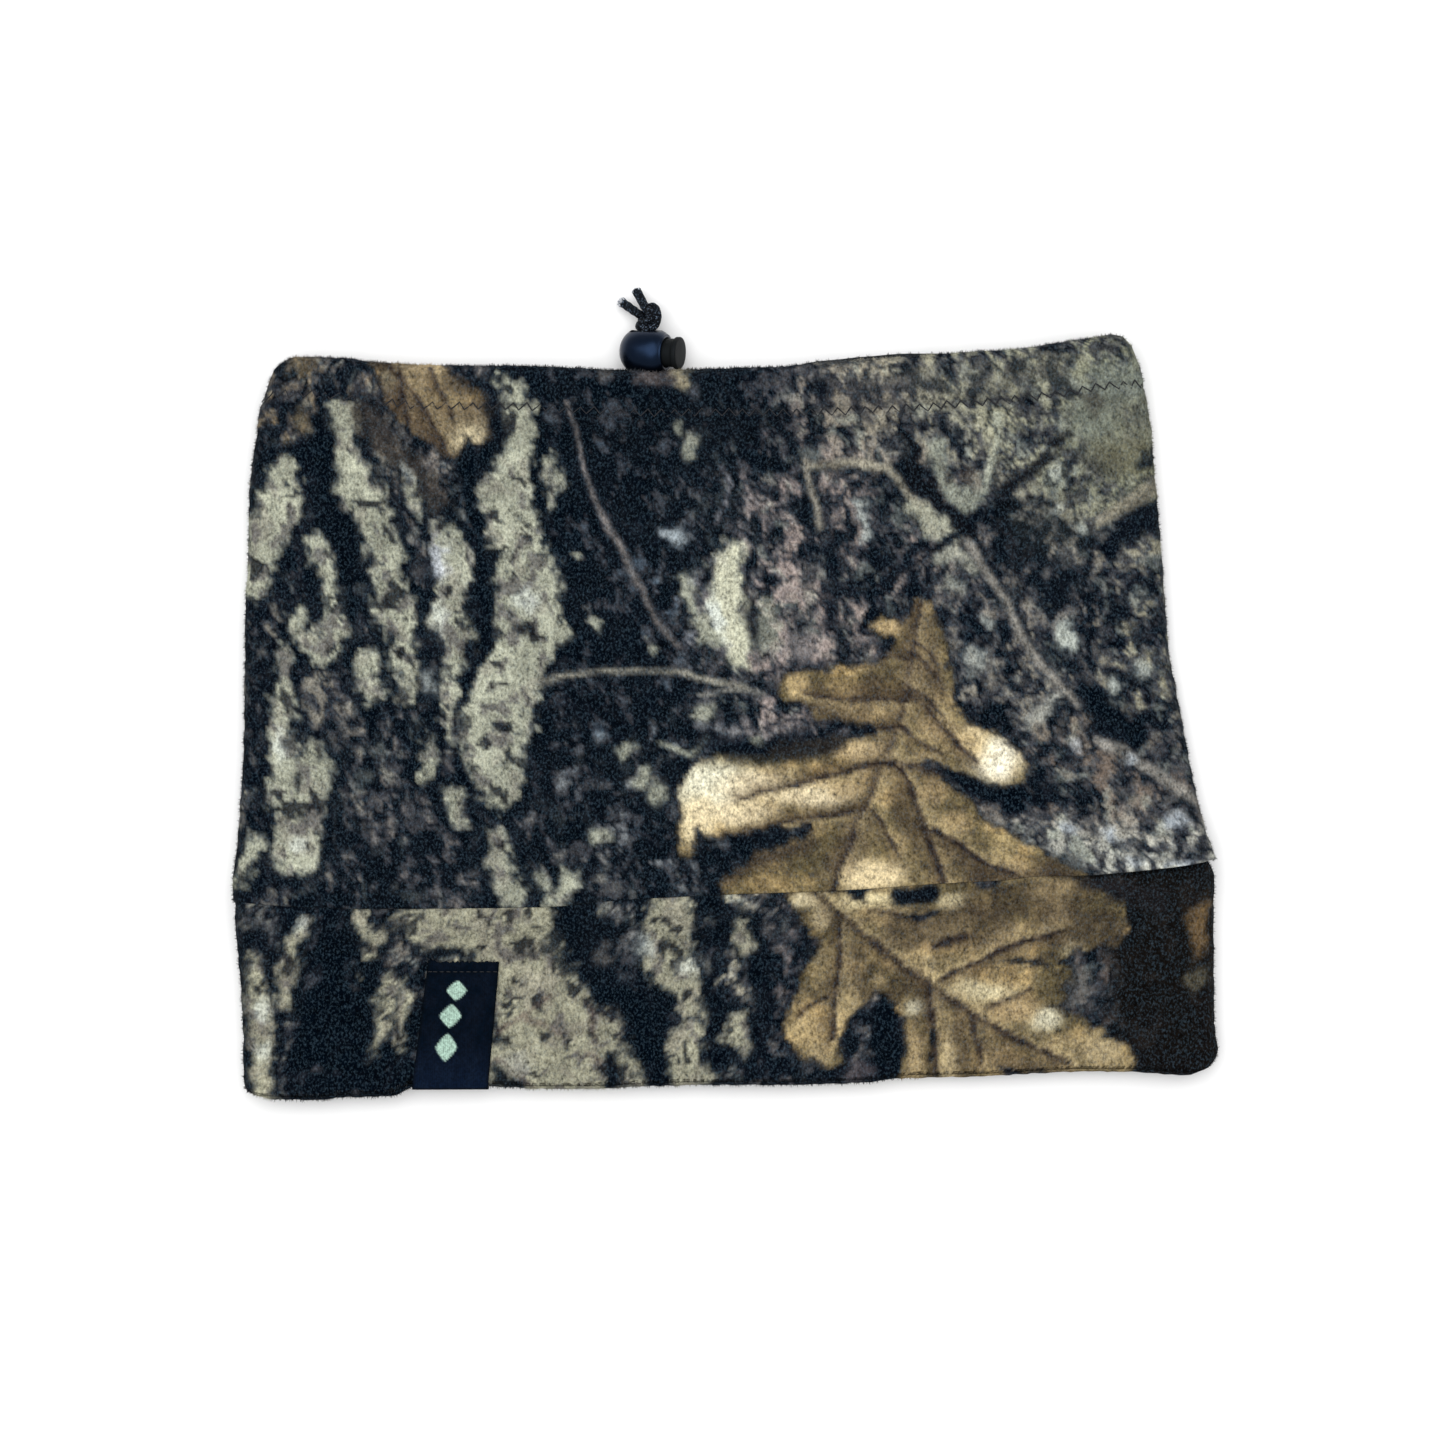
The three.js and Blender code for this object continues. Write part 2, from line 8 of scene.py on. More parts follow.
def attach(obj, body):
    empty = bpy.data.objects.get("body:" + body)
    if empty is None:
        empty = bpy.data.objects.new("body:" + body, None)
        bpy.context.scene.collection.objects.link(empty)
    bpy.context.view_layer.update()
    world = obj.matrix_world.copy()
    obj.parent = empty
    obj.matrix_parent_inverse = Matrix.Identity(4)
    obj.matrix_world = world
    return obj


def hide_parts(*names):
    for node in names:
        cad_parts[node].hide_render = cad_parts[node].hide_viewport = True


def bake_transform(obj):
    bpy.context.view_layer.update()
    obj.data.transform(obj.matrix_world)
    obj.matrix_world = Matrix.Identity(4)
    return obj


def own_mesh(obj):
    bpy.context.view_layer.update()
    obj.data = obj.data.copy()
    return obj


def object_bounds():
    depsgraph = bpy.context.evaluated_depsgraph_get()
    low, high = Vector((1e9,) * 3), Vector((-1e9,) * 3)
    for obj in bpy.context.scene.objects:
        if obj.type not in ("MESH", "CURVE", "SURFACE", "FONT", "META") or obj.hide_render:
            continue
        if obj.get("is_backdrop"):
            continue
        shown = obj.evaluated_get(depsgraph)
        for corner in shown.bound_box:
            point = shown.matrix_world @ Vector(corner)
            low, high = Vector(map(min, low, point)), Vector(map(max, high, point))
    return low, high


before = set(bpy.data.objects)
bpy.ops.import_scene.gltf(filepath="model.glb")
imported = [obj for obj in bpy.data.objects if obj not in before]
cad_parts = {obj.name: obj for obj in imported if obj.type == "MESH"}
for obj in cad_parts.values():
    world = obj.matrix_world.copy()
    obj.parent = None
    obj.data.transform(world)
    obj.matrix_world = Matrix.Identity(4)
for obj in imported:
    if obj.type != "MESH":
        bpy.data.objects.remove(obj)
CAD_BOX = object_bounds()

# A fleece neck gaiter (face mask) with a camouflage print, lying flat.
# Design coordinates are millimetres: X across, Y from the hem up, Z above the floor.
# The row frame is the design frame shifted by SHIFT.
SHIFT = np.array([0.23753, -111.73560, 0.0])
MM = 0.001

FLEECE = 1.8            # one layer of fleece as it lies
PLY = 0.12
CASING_IN = 6.0         # depth of the casing: wall, cord channel, wall
T_BODY, T_LAP, T_CASE, T_BAND = 8.8, 12.6, 13.2, 9.2
EXIT_X = -22.1
LOCK = (-22.41, 204.75, 6.75)
TILT, TURN, ROLL = 20.0, -5.0, 14.0
# the lock's outer profile: distance along its axis, radius
SHELL = [(-6.55, 0), (-6.5, 0.9), (-6.2, 2.0), (-5.6, 3.35), (-4.8, 4.5), (-3.73, 5.45), (-2.6, 6.05), (-1.2, 6.42), (0.4, 6.55), (2.0, 6.52), (3.6, 6.36), (5.0, 6.0), (5.9, 5.58), (6.4, 5.24), (6.58, 5.06), (6.86, 4.98), (6.96, 4.84)]

# ------------------------------------------------------------------ tables
BODY_L = [(0, -134.7), (0.03, -134.7), (0.0875, -133.93), (0.162, -133.1), (0.2737, -132.0), (0.4227, -131.59), (0.5345, -131.5), (0.6462, -130.62), (0.7579, -130.35), (0.8324, -129.25), (0.8696, -128.15), (0.9069, -127.33), (0.9441, -125.4), (0.9814, -123.2), (1.0, -121.55)]
BODY_R = [(0, 133.93), (0.0135, 133.6), (0.052, 131.73), (0.0906, 130.35), (0.1291, 128.98), (0.2062, 126.78), (0.3218, 123.75), (0.3988, 121.7), (0.5145, 120.45), (0.6301, 119.08), (0.7457, 117.7), (0.8227, 116.88), (0.8613, 116.05), (0.8998, 114.95), (0.9383, 113.58), (0.9769, 111.93), (1.0, 110.55)]
BAND_L = [(0, -129.53), (0.0311, -131.31), (0.0933, -132.0), (0.2487, -132.0), (0.5078, -132.55), (0.7668, -133.65), (0.8705, -134.1), (1.0, -134.2)]
BAND_R = [(0, 131.73), (0.0381, 134.2), (0.0952, 135.03), (0.1905, 134.2), (0.4762, 133.93), (0.8571, 133.93), (1.0, 133.65)]
TOP_F = [(0, 202.2), (0.012, 202.9), (0.0332, 202.95), (0.0628, 202.8), (0.122, 201.4), (0.1813, 200.8), (0.2701, 200.6), (0.3294, 200.2), (0.3886, 199.5), (0.4479, 199.35), (0.5071, 199.8), (0.596, 200.5), (0.6256, 201.2), (0.6552, 201.9), (0.6848, 202.3), (0.7441, 203.1), (0.8033, 204.2), (0.8626, 205.0), (0.9218, 207.0), (0.975, 208.9), (0.99, 209.1), (1.0, 208.4)]
TOP_B = [(0, 202.2), (0.012, 202.7), (0.0332, 202.5), (0.122, 201.2), (0.2701, 200.3), (0.3756, 199.3), (0.423, 199.15), (0.4479, 199.15), (0.5071, 199.5), (0.596, 200.8), (0.6256, 202.3), (0.6552, 203.0), (0.6848, 203.7), (0.7441, 204.6), (0.8033, 204.7), (0.8626, 205.0), (0.9218, 206.8), (0.975, 208.7), (0.99, 208.9), (1.0, 208.2)]
SEAM = [(0, 54.6), (0.0666, 53.08), (0.1414, 52.53), (0.3238, 53.08), (0.374, 54.45), (0.4877, 56.24), (0.6199, 57.56), (0.7182, 59.4), (0.7787, 60.23), (0.8227, 61.46), (0.8596, 61.6), (0.9016, 62.43), (0.9672, 64.35), (1.0, 66.0)]
HEM = [(0, 1.3), (0.02, 0.35), (0.0681, 0), (0.0939, 0.7), (0.1455, 1.1), (0.158, 2.2), (0.17, 3.6), (0.26, 3.6), (0.3, 3.0), (0.3519, 3.03), (0.4035, 3.58), (0.4809, 4.12), (0.5583, 4.12), (0.6357, 4.68), (0.6873, 5.91), (0.7647, 6.33), (0.8163, 7.15), (0.8679, 7.7), (0.9195, 7.7), (0.9711, 6.88), (0.988, 7.2), (1.0, 8.6)]
STITCH = [(0, 10.4), (0.1, 10.5), (0.2, 11.4), (0.3, 11.4), (0.45, 11.8), (0.6, 12.9), (0.67, 13.9), (0.8, 14.1), (0.87, 13.5), (1.0, 13.6)]
STEP = [(0, 0.4), (0.7, 0.42), (0.8, 0.55), (0.86, 1.4), (1.0, 1.8)]


def pchip(rows):
    x = np.array([r[0] for r in rows], float)
    y = np.array([r[1] for r in rows], float)
    h = np.diff(x)
    d = np.diff(y) / h
    m = np.zeros_like(x)
    for i in range(1, len(x) - 1):
        if d[i - 1] * d[i] > 0:
            w1, w2 = 2 * h[i] + h[i - 1], h[i] + 2 * h[i - 1]
            m[i] = (w1 + w2) / (w1 / d[i - 1] + w2 / d[i])
    m[0], m[-1] = d[0], d[-1]

    def f(t):
        t = np.clip(np.asarray(t, float), x[0], x[-1])
        i = np.clip(np.searchsorted(x, t, side="right") - 1, 0, len(x) - 2)
        s = (t - x[i]) / h[i]
        s2, s3 = s * s, s * s * s
        return (2 * s3 - 3 * s2 + 1) * y[i] + (s3 - 2 * s2 + s) * h[i] * m[i] + (-2 * s3 + 3 * s2) * y[i + 1] + (s3 - s2) * h[i] * m[i + 1]
    return f


body_l, body_r, band_l, band_r = map(pchip, (BODY_L, BODY_R, BAND_L, BAND_R))
top_f, top_b, seam_y, hem_y, stitch_s, step_f = map(pchip, (TOP_F, TOP_B, SEAM, HEM, STITCH, STEP))


def smooth(t):
    t = np.clip(t, 0, 1)
    return t * t * (3 - 2 * t)


# ------------------------------------------------------------------ noise in code
_tables = {}


def vnoise(x, y, seed):
    if seed not in _tables:
        _tables[seed] = np.random.RandomState(seed).rand(256, 256)
    tab = _tables[seed]
    xi, yi = np.floor(x).astype(int), np.floor(y).astype(int)
    fx, fy = x - xi, y - yi
    fx, fy = fx * fx * (3 - 2 * fx), fy * fy * (3 - 2 * fy)
    x0, x1, y0, y1 = xi & 255, (xi + 1) & 255, yi & 255, (yi + 1) & 255
    return (tab[x0, y0] * (1 - fx) + tab[x1, y0] * fx) * (1 - fy) + (tab[x0, y1] * (1 - fx) + tab[x1, y1] * fx) * fy


def fbm(x, y, sx, sy, octaves, seed, gain=0.55):
    """Fractal noise, stretched to about 0..1 around 0.5."""
    total, amp, norm = 0.0, 1.0, 0.0
    px, py = x / sx + seed * 3.17, y / sy - seed * 1.31
    for k in range(octaves):
        total = total + amp * vnoise(px, py, seed + 31 * k)
        norm += amp
        amp *= gain
        c, s = 0.8 * 2, 0.6 * 2
        px, py = px * c + py * s * 0.25 + 5.2, py * c - px * s * 0.25 + 1.3
    v = total / norm
    return np.clip(0.5 + (v - 0.5) * 1.7, 0, 1)


# ------------------------------------------------------------------ the flattened tube
def make_ring(n_front, n_back, n_side):
    sx, nx, nz = [], [], []
    for i in range(n_back):
        sx.append(-1 + 2 * i / n_back); nx.append(0.0); nz.append(-1.0)
    for i in range(n_side):
        w = (-0.5 + i / n_side) * math.pi
        sx.append(1.0); nx.append(math.cos(w)); nz.append(math.sin(w))
    for i in range(n_front):
        sx.append(1 - 2 * i / n_front); nx.append(0.0); nz.append(1.0)
    for i in range(n_side):
        w = (0.5 + i / n_side) * math.pi
        sx.append(-1.0); nx.append(math.cos(w)); nz.append(math.sin(w))
    return np.array(sx), np.array(nx), np.array(nz)


def place(sx, nx, nz, left, right, T, d, y_of, sag):
    h = T / 2
    cx, a = (left + right) / 2, (right - left) / 2 - T / 2
    xo = cx + a * sx + nx * h
    f = (xo - left) / (right - left)
    front = (nz + 1) / 2
    x = cx + a * sx + nx * (h - d)
    y = y_of(f, front)
    z = h + nz * (h - d)
    xi = (xo - cx) / ((right - left) / 2)
    z = z - front * front * sag * (1 - np.abs(xi) ** 5)
    # slow undulation of the upper layer only
    wave = (fbm(x + 300, y + 100, 46, 40, 2, 5) - 0.5) * 1.5 + (fbm(x + 300, y + 100, 17, 15, 2, 6) - 0.5) * 0.5
    z = z + front * front * wave * np.clip(T / 12, 0.4, 1)
    return x, y, z, f


def body_T(a, b):
    s = -b + (1 - a) * 146
    t = a * 146 + b
    return (T_BODY + (T_LAP - T_BODY) * smooth(1 - (t - 1) / 17) + (T_CASE - T_BODY) * smooth(1 - (s - 9.5) / 13)), s, t


def body_at(sx, nx, nz, a, b, d, dimple=True):
    v = np.clip(a + b / 146, 0, 1)
    left, right = body_l(v), body_r(v)
    T, s, t = body_T(a, b)
    sag = 2.7 * smooth((t - 4) / 36) * smooth((s - 13) / 34) + 0.25

    def y_of(f, front):
        lo = seam_y(f)
        hi = top_f(f) * front + top_b(f) * (1 - front)
        return lo + (hi - lo) * a + b
    x, y, z, f = place(sx, nx, nz, left, right, T, d, y_of, sag)
    return x, y, z, f, s, t


def band_at(sx, nx, nz, a, b, d):
    up = smooth((b + 1.2 - 100 * (a < 1)) / 1.2)
    t = np.clip(a + b / 54, 0, 1)
    vb = np.clip(b / 146, 0, 1)
    left = band_l(t) * (1 - up) + body_l(vb) * up
    right = band_r(t) * (1 - up) + body_r(vb) * up
    below = (1 - a) * 54 - b                    # mm under the seam line
    T = T_BAND + (T_LAP - T_BAND) * smooth(1 - (below - 0.5) / 15)
    sag = 0.75 * smooth((below - 2) / 14) + 0.2

    def y_of(f, front):
        lo = hem_y(f)
        return lo + (seam_y(f) - lo) * a + b
    x, y, z, f = place(sx, nx, nz, left, right, T, d, y_of, sag)
    return x, y, z, f, below


def sweep(rows, ring, at):
    sx, nx, nz = ring
    a = np.array([r[0] for r in rows])[:, None]
    b = np.array([r[1] for r in rows])[:, None]
    d = np.array([r[2] for r in rows])[:, None]
    return at(sx[None, :], nx[None, :], nz[None, :], a, b, d)


def grid_faces(m, n, wrap_rows=True, wrap_cols=True):
    i = np.arange(m if wrap_rows else m - 1)
    j = np.arange(n if wrap_cols else n - 1)
    I, J = np.meshgrid(i, j, indexing="ij")
    I2, J2 = (I + 1) % m, (J + 1) % n
    return np.stack([I * n + J, I * n + J2, I2 * n + J2, I2 * n + J], -1).reshape(-1, 4)


def mesh_object(name, points, faces, shade=True, design=True):
    """points in design mm; faces a list of index tuples or an (n, 4) array."""
    p = np.asarray(points, float)
    if design:
        p = (p + SHIFT) * MM
    me = bpy.data.meshes.new(name)
    me.from_pydata([tuple(v) for v in p.tolist()], [], [tuple(f) for f in (faces.tolist() if isinstance(faces, np.ndarray) else faces)])
    me.update()
    o = bpy.data.objects.new(name, me)
    bpy.context.scene.collection.objects.link(o)
    if shade:
        me.polygons.foreach_set("use_smooth", [True] * len(me.polygons))
    fix_winding(o)
    return o


def fix_winding(o):
    me = o.data
    n = len(me.vertices)
    co = np.empty(n * 3); me.vertices.foreach_get("co", co); co = co.reshape(-1, 3)
    me.calc_loop_triangles()
    tri = np.empty(len(me.loop_triangles) * 3, dtype=np.int32); me.loop_triangles.foreach_get("vertices", tri)
    tri = tri.reshape(-1, 3)
    vol = np.einsum("ij,ij->i", co[tri[:, 0]], np.cross(co[tri[:, 1]], co[tri[:, 2]])).sum()
    if vol < 0:
        me.flip_normals()


def set_colour(o, rgb, name="print"):
    """rgb: (n, 3) sRGB 0..255 per vertex, stored linear."""
    c = np.clip(np.asarray(rgb, float) / 255, 0, 1)
    lin = np.where(c <= 0.04045, c / 12.92, ((c + 0.055) / 1.055) ** 2.4)
    attr = o.data.color_attributes.new(name, "FLOAT_COLOR", "POINT")
    full = np.concatenate([lin, np.ones((len(lin), 1))], 1).astype(np.float32)
    attr.data.foreach_set("color", full.ravel())


# ------------------------------------------------------------------ the print
# Print units are 0.275 mm; U runs across and V runs down, as the cloth faces the viewer.
NAVY, INK = (0, 5, 14), (8, 9, 14)
TAUPE, GREYB = (112, 107, 101), (84, 79, 76)
OLIVE, OLIVEL, PALE = (174, 176, 156), (208, 208, 182), (222, 229, 220)
TAN, TANL, CREAM = (168, 148, 106), (206, 188, 144), (238, 234, 206)
BROWN, BROWND, UMBER = (98, 84, 60), (56, 46, 38), (40, 35, 34)
GREYG = (114, 116, 100)


class Painter:
    def __init__(self, U, V, seed):
        self.U, self.V, self.seed = U, V, seed
        self.Uw = U + (fbm(U, V, 26, 26, 3, seed + 1) - 0.5) * 13 + (fbm(U, V, 8, 8, 2, seed + 2) - 0.5) * 7
        self.Vw = V + (fbm(U, V, 26, 26, 3, seed + 3) - 0.5) * 13 + (fbm(U, V, 8, 8, 2, seed + 4) - 0.5) * 7
        self.Ul = U + (fbm(U, V, 26, 26, 3, seed + 5) - 0.5) * 5
        self.Vl = V + (fbm(U, V, 26, 26, 3, seed + 6) - 0.5) * 5
        self.fine = fbm(U, V, 7, 8, 3, seed + 7)
        self.mid = fbm(U, V, 15, 20, 3, seed + 8)
        rs = np.random.RandomState(seed + 9)
        self.grit = rs.normal(0, 1, len(U)).clip(-2.2, 2.2)
        self.col = np.zeros((len(U), 3)) + NAVY

    def lay(self, mask, rgb, k=1.0):
        m = (np.clip(mask, 0, 1) * k)[:, None]
        self.col = self.col * (1 - m) + np.asarray(rgb, float) * m

    def chain(self, pts, rads, warp="w", side=False):
        """Signed distance to a chain of round-ended strokes, and which side of it a point lies."""
        X, Y = {"w": (self.Uw, self.Vw), "l": (self.Ul, self.Vl), "n": (self.U, self.V)}[warp]
        if not hasattr(rads, "__len__"):
            rads = [rads] * len(pts)
        if len(pts) == 1:
            pts, rads = [pts[0], (pts[0][0] + 0.01, pts[0][1])], [rads[0], rads[0]]
        best = np.full(len(X), 1e6)
        sgn = np.zeros(len(X))
        run = np.zeros(len(X))
        base = 0.0
        for (p, q, r0, r1) in zip(pts[:-1], pts[1:], rads[:-1], rads[1:]):
            px, py = p
            dx, dy = q[0] - p[0], q[1] - p[1]
            L = math.hypot(dx, dy) + 1e-9
            t = np.clip(((X - px) * dx + (Y - py) * dy) / (L * L), 0, 1)
            d = np.hypot(X - px - t * dx, Y - py - t * dy) - (r0 + (r1 - r0) * t)
            if side:
                near = d < best
                sgn = np.where(near, np.sign((X - px) * dy - (Y - py) * dx), sgn)
                run = np.where(near, base + t * L, run)
            best = np.minimum(best, d)
            base += L
        return (best, sgn, run) if side else best

    def blob(self, cx, cy, rx, ry, ang=0.0, warp="w"):
        X, Y = {"w": (self.Uw, self.Vw), "l": (self.Ul, self.Vl), "n": (self.U, self.V)}[warp]
        c, s = math.cos(math.radians(ang)), math.sin(math.radians(ang))
        x, y = (X - cx) * c + (Y - cy) * s, -(X - cx) * s + (Y - cy) * c
        return (np.hypot(x / rx, y / ry) - 1) * min(rx, ry)

    def soft(self, d, w=5.0):
        """Edge of a printed shape: blurred by the pile, with single tufts falling either side."""
        return smooth(0.5 - (d + self.grit * 0.45) / (w + 4.5))

    def gauss(self, cx, cy, rx, ry):
        d2 = ((self.Uw - cx) / rx) ** 2 + ((self.Vw - cy) / ry) ** 2
        return smooth(1.35 * np.exp(-d2 * 0.9) - 0.12 + 0.25 * (self.fine - 0.5))

    def mottle(self, regions, sx=15, sy=24, seed=40):
        wsum = np.full(len(self.U), 1e-4)
        col = np.zeros((len(self.U), 3)) + 1e-4 * np.array(GREYB, float)
        cov = np.full(len(self.U), 0.35e-4)
        for cx, cy, rx, ry, rgb, c in regions:
            w = np.exp(-((self.Uw - cx) / rx) ** 2 - ((self.Vw - cy) / ry) ** 2)
            wsum += w
            col += w[:, None] * np.array(rgb, float)
            cov += w * c
        col /= wsum[:, None]
        cov /= wsum
        n = fbm(self.Uw, self.Vw, sx, sy, 5, seed, 0.62)
        n = n + (fbm(self.Uw, self.Vw, 6, 8, 3, seed + 1, 0.6) - 0.5) * 0.60
        v = np.clip((n - (0.76 - 0.78 * cov)) / 0.64, 0, 1.15)
        dusk = np.array((54, 55, 60), float)
        deep = np.array(NAVY, float)
        low = (fbm(self.Uw, self.Vw, 40, 44, 3, seed + 5) * 0.8)[:, None]
        deep = deep * (1 - low * 0.5) + np.array((22, 26, 32), float) * low * 0.5
        a = smooth(v / 0.28)[:, None]
        b = smooth((v - 0.26) / 0.74)[:, None]
        g = deep * (1 - a) + dusk * a
        g = g * (1 - b) + col * 1.26 * b
        self.col = g * (0.93 + 0.14 * self.fine)[:, None]
        # pale lichen spots where the cover is thick
        n4 = fbm(self.Uw, self.Vw, 11, 13, 3, seed + 4, 0.6)
        self.lay(smooth((n4 - 0.72) / 0.2) * np.clip(cov * 1.3 - 0.2, 0, 1) * 0.75, (172, 178, 164))
        # thin dark stems and cracks
        r = 1 - np.abs(2 * fbm(self.Uw, self.Vw, 34, 42, 3, seed + 6, 0.5) - 1)
        self.lay(smooth((r - 0.89) / 0.10) * 0.55, NAVY)
        r = 1 - np.abs(2 * fbm(self.Uw, self.Vw, 28, 36, 3, seed + 9, 0.5) - 1)
        self.lay(smooth((r - 0.90) / 0.10) * np.clip(cov * 1.2, 0, 1) * 0.35, (150, 150, 138))
        # leaf litter: short bright and dark filaments, a few millimetres long
        r = 1 - np.abs(2 * fbm(self.Uw, self.Vw, 11, 17, 3, seed + 21, 0.55) - 1)
        self.lay(smooth((r - 0.84) / 0.16) * np.clip(cov * 1.5 - 0.35, 0, 1) * 0.42, (158, 158, 148))
        r = 1 - np.abs(2 * fbm(self.Uw, self.Vw, 12, 19, 3, seed + 24, 0.55) - 1)
        self.lay(smooth((r - 0.84) / 0.16) * 0.62, NAVY)
        self.cov = cov

    def plates(self, items, edge=8.0, colour=OLIVE):
        d = np.full(len(self.U), 1e6)
        for pts, rads in items:
            d = np.minimum(d, self.chain(pts, rads))
        rough = (self.fine - 0.5) * 6 + (fbm(self.U, self.V, 4, 5, 2, self.seed + 59) - 0.5) * 4
        ring = smooth(1 - np.abs(d - edge * 0.6) / (edge * 1.3))
        self.lay(ring * (d > -3) * 0.82, NAVY)
        tone = fbm(self.Uw, self.Vw, 20, 28, 4, self.seed + 60, 0.6)
        rgb = np.array(colour, float) * (0.84 + 0.28 * tone)[:, None]
        self.lay(self.soft(d + rough, 6.5) * 0.97, rgb)
        inside = self.soft(d + 2, 5)
        warm = smooth((fbm(self.Uw, self.Vw, 16, 20, 3, self.seed + 63, 0.6) - 0.5) / 0.3)
        self.lay(warm * inside * 0.30, (124, 116, 108))
        spots = smooth((fbm(self.Uw, self.Vw, 11, 14, 3, self.seed + 61, 0.6) - 0.61) / 0.18)
        self.lay(spots * inside * 0.60, (80, 76, 78))
        spots = smooth((fbm(self.Uw, self.Vw, 12, 12, 3, self.seed + 62, 0.6) - 0.71) / 0.12)
        self.lay(spots * inside * 0.7, INK)

    def twig(self, pts, rads, rgb, shadow=0.7, soft=3.0):
        rr = rads if hasattr(rads, "__len__") else [rads] * len(pts)
        d = self.chain([(x + 4, y + 3) for x, y in pts], [r * 1.3 for r in rr], "l")
        self.lay(self.soft(d, 5) * shadow, NAVY)
        d = self.chain(pts, rr, "l")
        v = 0.74 + 0.45 * self.mid
        self.lay(self.soft(d, soft) * 0.9, np.array(rgb, float)[None, :] * v[:, None])

    def leaf(self, lobes, veins, lights, darks, tone=TAN, low=BROWN, rim=4.0):
        d = np.full(len(self.U), 1e6)
        for pts, rads in lobes:
            d = np.minimum(d, self.chain(pts, rads, "l"))
        ragged = (fbm(self.U, self.V, 13, 13, 3, self.seed + 73, 0.6) - 0.5) * 9
        d = d + (self.fine - 0.5) * 4 + ragged
        self.lay(self.soft(d - 6, 12) * 0.6, NAVY)
        m = self.soft(d, 3.0)
        n = fbm(self.U, self.V, 42, 38, 4, self.seed + 70, 0.6)
        mix = smooth((n - 0.22) / 0.60)[:, None]
        g = np.array(low, float) * (1 - mix) + np.array(tone, float) * mix
        gold = smooth((fbm(self.U, self.V, 26, 24, 3, self.seed + 75, 0.6) - 0.42) / 0.3)[:, None] * 0.55
        g = g * (1 - gold * mix) + np.array((192, 160, 106), float) * gold * mix
        g = g * (0.72 + 0.48 * fbm(self.U, self.V, 8, 9, 4, self.seed + 71, 0.65))[:, None]
        speck = smooth((fbm(self.U, self.V, 5, 5, 2, self.seed + 76) - 0.60) / 0.2)[:, None] * (0.13 + 0.30 * (1 - mix))
        g = g * (1 - speck) + np.array((44, 38, 34), float) * speck

        def toward(g, w, rgb):
            w = np.clip(w, 0, 1)[:, None]
            return g * (1 - w) + np.array(rgb, float) * w
        for cx, cy, rx, ry, rgb, k in lights:
            e = np.exp(-((self.Ul - cx) / (rx * 1.15)) ** 2 - ((self.Vl - cy) / (ry * 1.15)) ** 2)
            e = smooth(1.25 * e - 0.08 + 0.3 * (self.mid - 0.5) * (e > 0.03))
            g = toward(g, e * k, rgb)
        for pts, rads, k in darks:
            g = toward(g, self.soft(self.chain(pts, rads, "l"), 10) * k, BROWND)
        rs = np.random.RandomState(self.seed + 74)
        for pts, rads in veins:
            dv, sd, run = self.chain(pts, rads, "l", True)
            long = sum(math.hypot(q[0] - p[0], q[1] - p[1]) for p, q in zip(pts[:-1], pts[1:]))
            k = min(1.0, long / 90)
            near = np.exp(-np.maximum(dv - 1, 0) / 9.0)
            g = toward(g, near * (sd > 0) * 0.46 * k, (212, 192, 146))
            g = toward(g, near * (sd < 0) * 0.52 * k, (66, 54, 40))
            g = toward(g, self.soft(dv + (self.fine - 0.5) * 2.2 - 0.2, 1.2) * (0.70 + 0.26 * k), (28, 22, 24))
            # faint side veins
            pos, flip = rs.uniform(8, 16), 1
            while pos < long - 6 and long > 40:
                acc = 0.0
                for p, q in zip(pts[:-1], pts[1:]):
                    L = math.hypot(q[0] - p[0], q[1] - p[1])
                    if acc + L >= pos:
                        t = (pos - acc) / L
                        ux, uy = (q[0] - p[0]) / L, (q[1] - p[1]) / L
                        a = math.radians(rs.uniform(42, 60)) * flip
                        vx, vy = ux * math.cos(a) - uy * math.sin(a), ux * math.sin(a) + uy * math.cos(a)
                        o = (p[0] + ux * t * L, p[1] + uy * t * L)
                        ln = rs.uniform(14, 30)
                        e1 = (o[0] + vx * ln * 0.5 + ux * 2, o[1] + vy * ln * 0.5 + uy * 2)
                        e2 = (o[0] + vx * ln + ux * 6, o[1] + vy * ln + uy * 6)
                        ds, ss, _ = self.chain([o, e1, e2], [0.9, 0.8, 0.3], "l", True)
                        g = toward(g, np.exp(-np.maximum(ds, 0) / 4.0) * (ss > 0) * 0.16, (205, 184, 140))
                        g = toward(g, self.soft(ds, 1.5) * 0.34, (70, 56, 42))
                        break
                    acc += L
                pos += rs.uniform(9, 16)
                flip = -flip
        edge = smooth(1 + d / rim) * (0.25 + 0.5 * self.mid)
        g = toward(g, edge * 0.75, (66, 54, 42))
        self.lay(m, g)


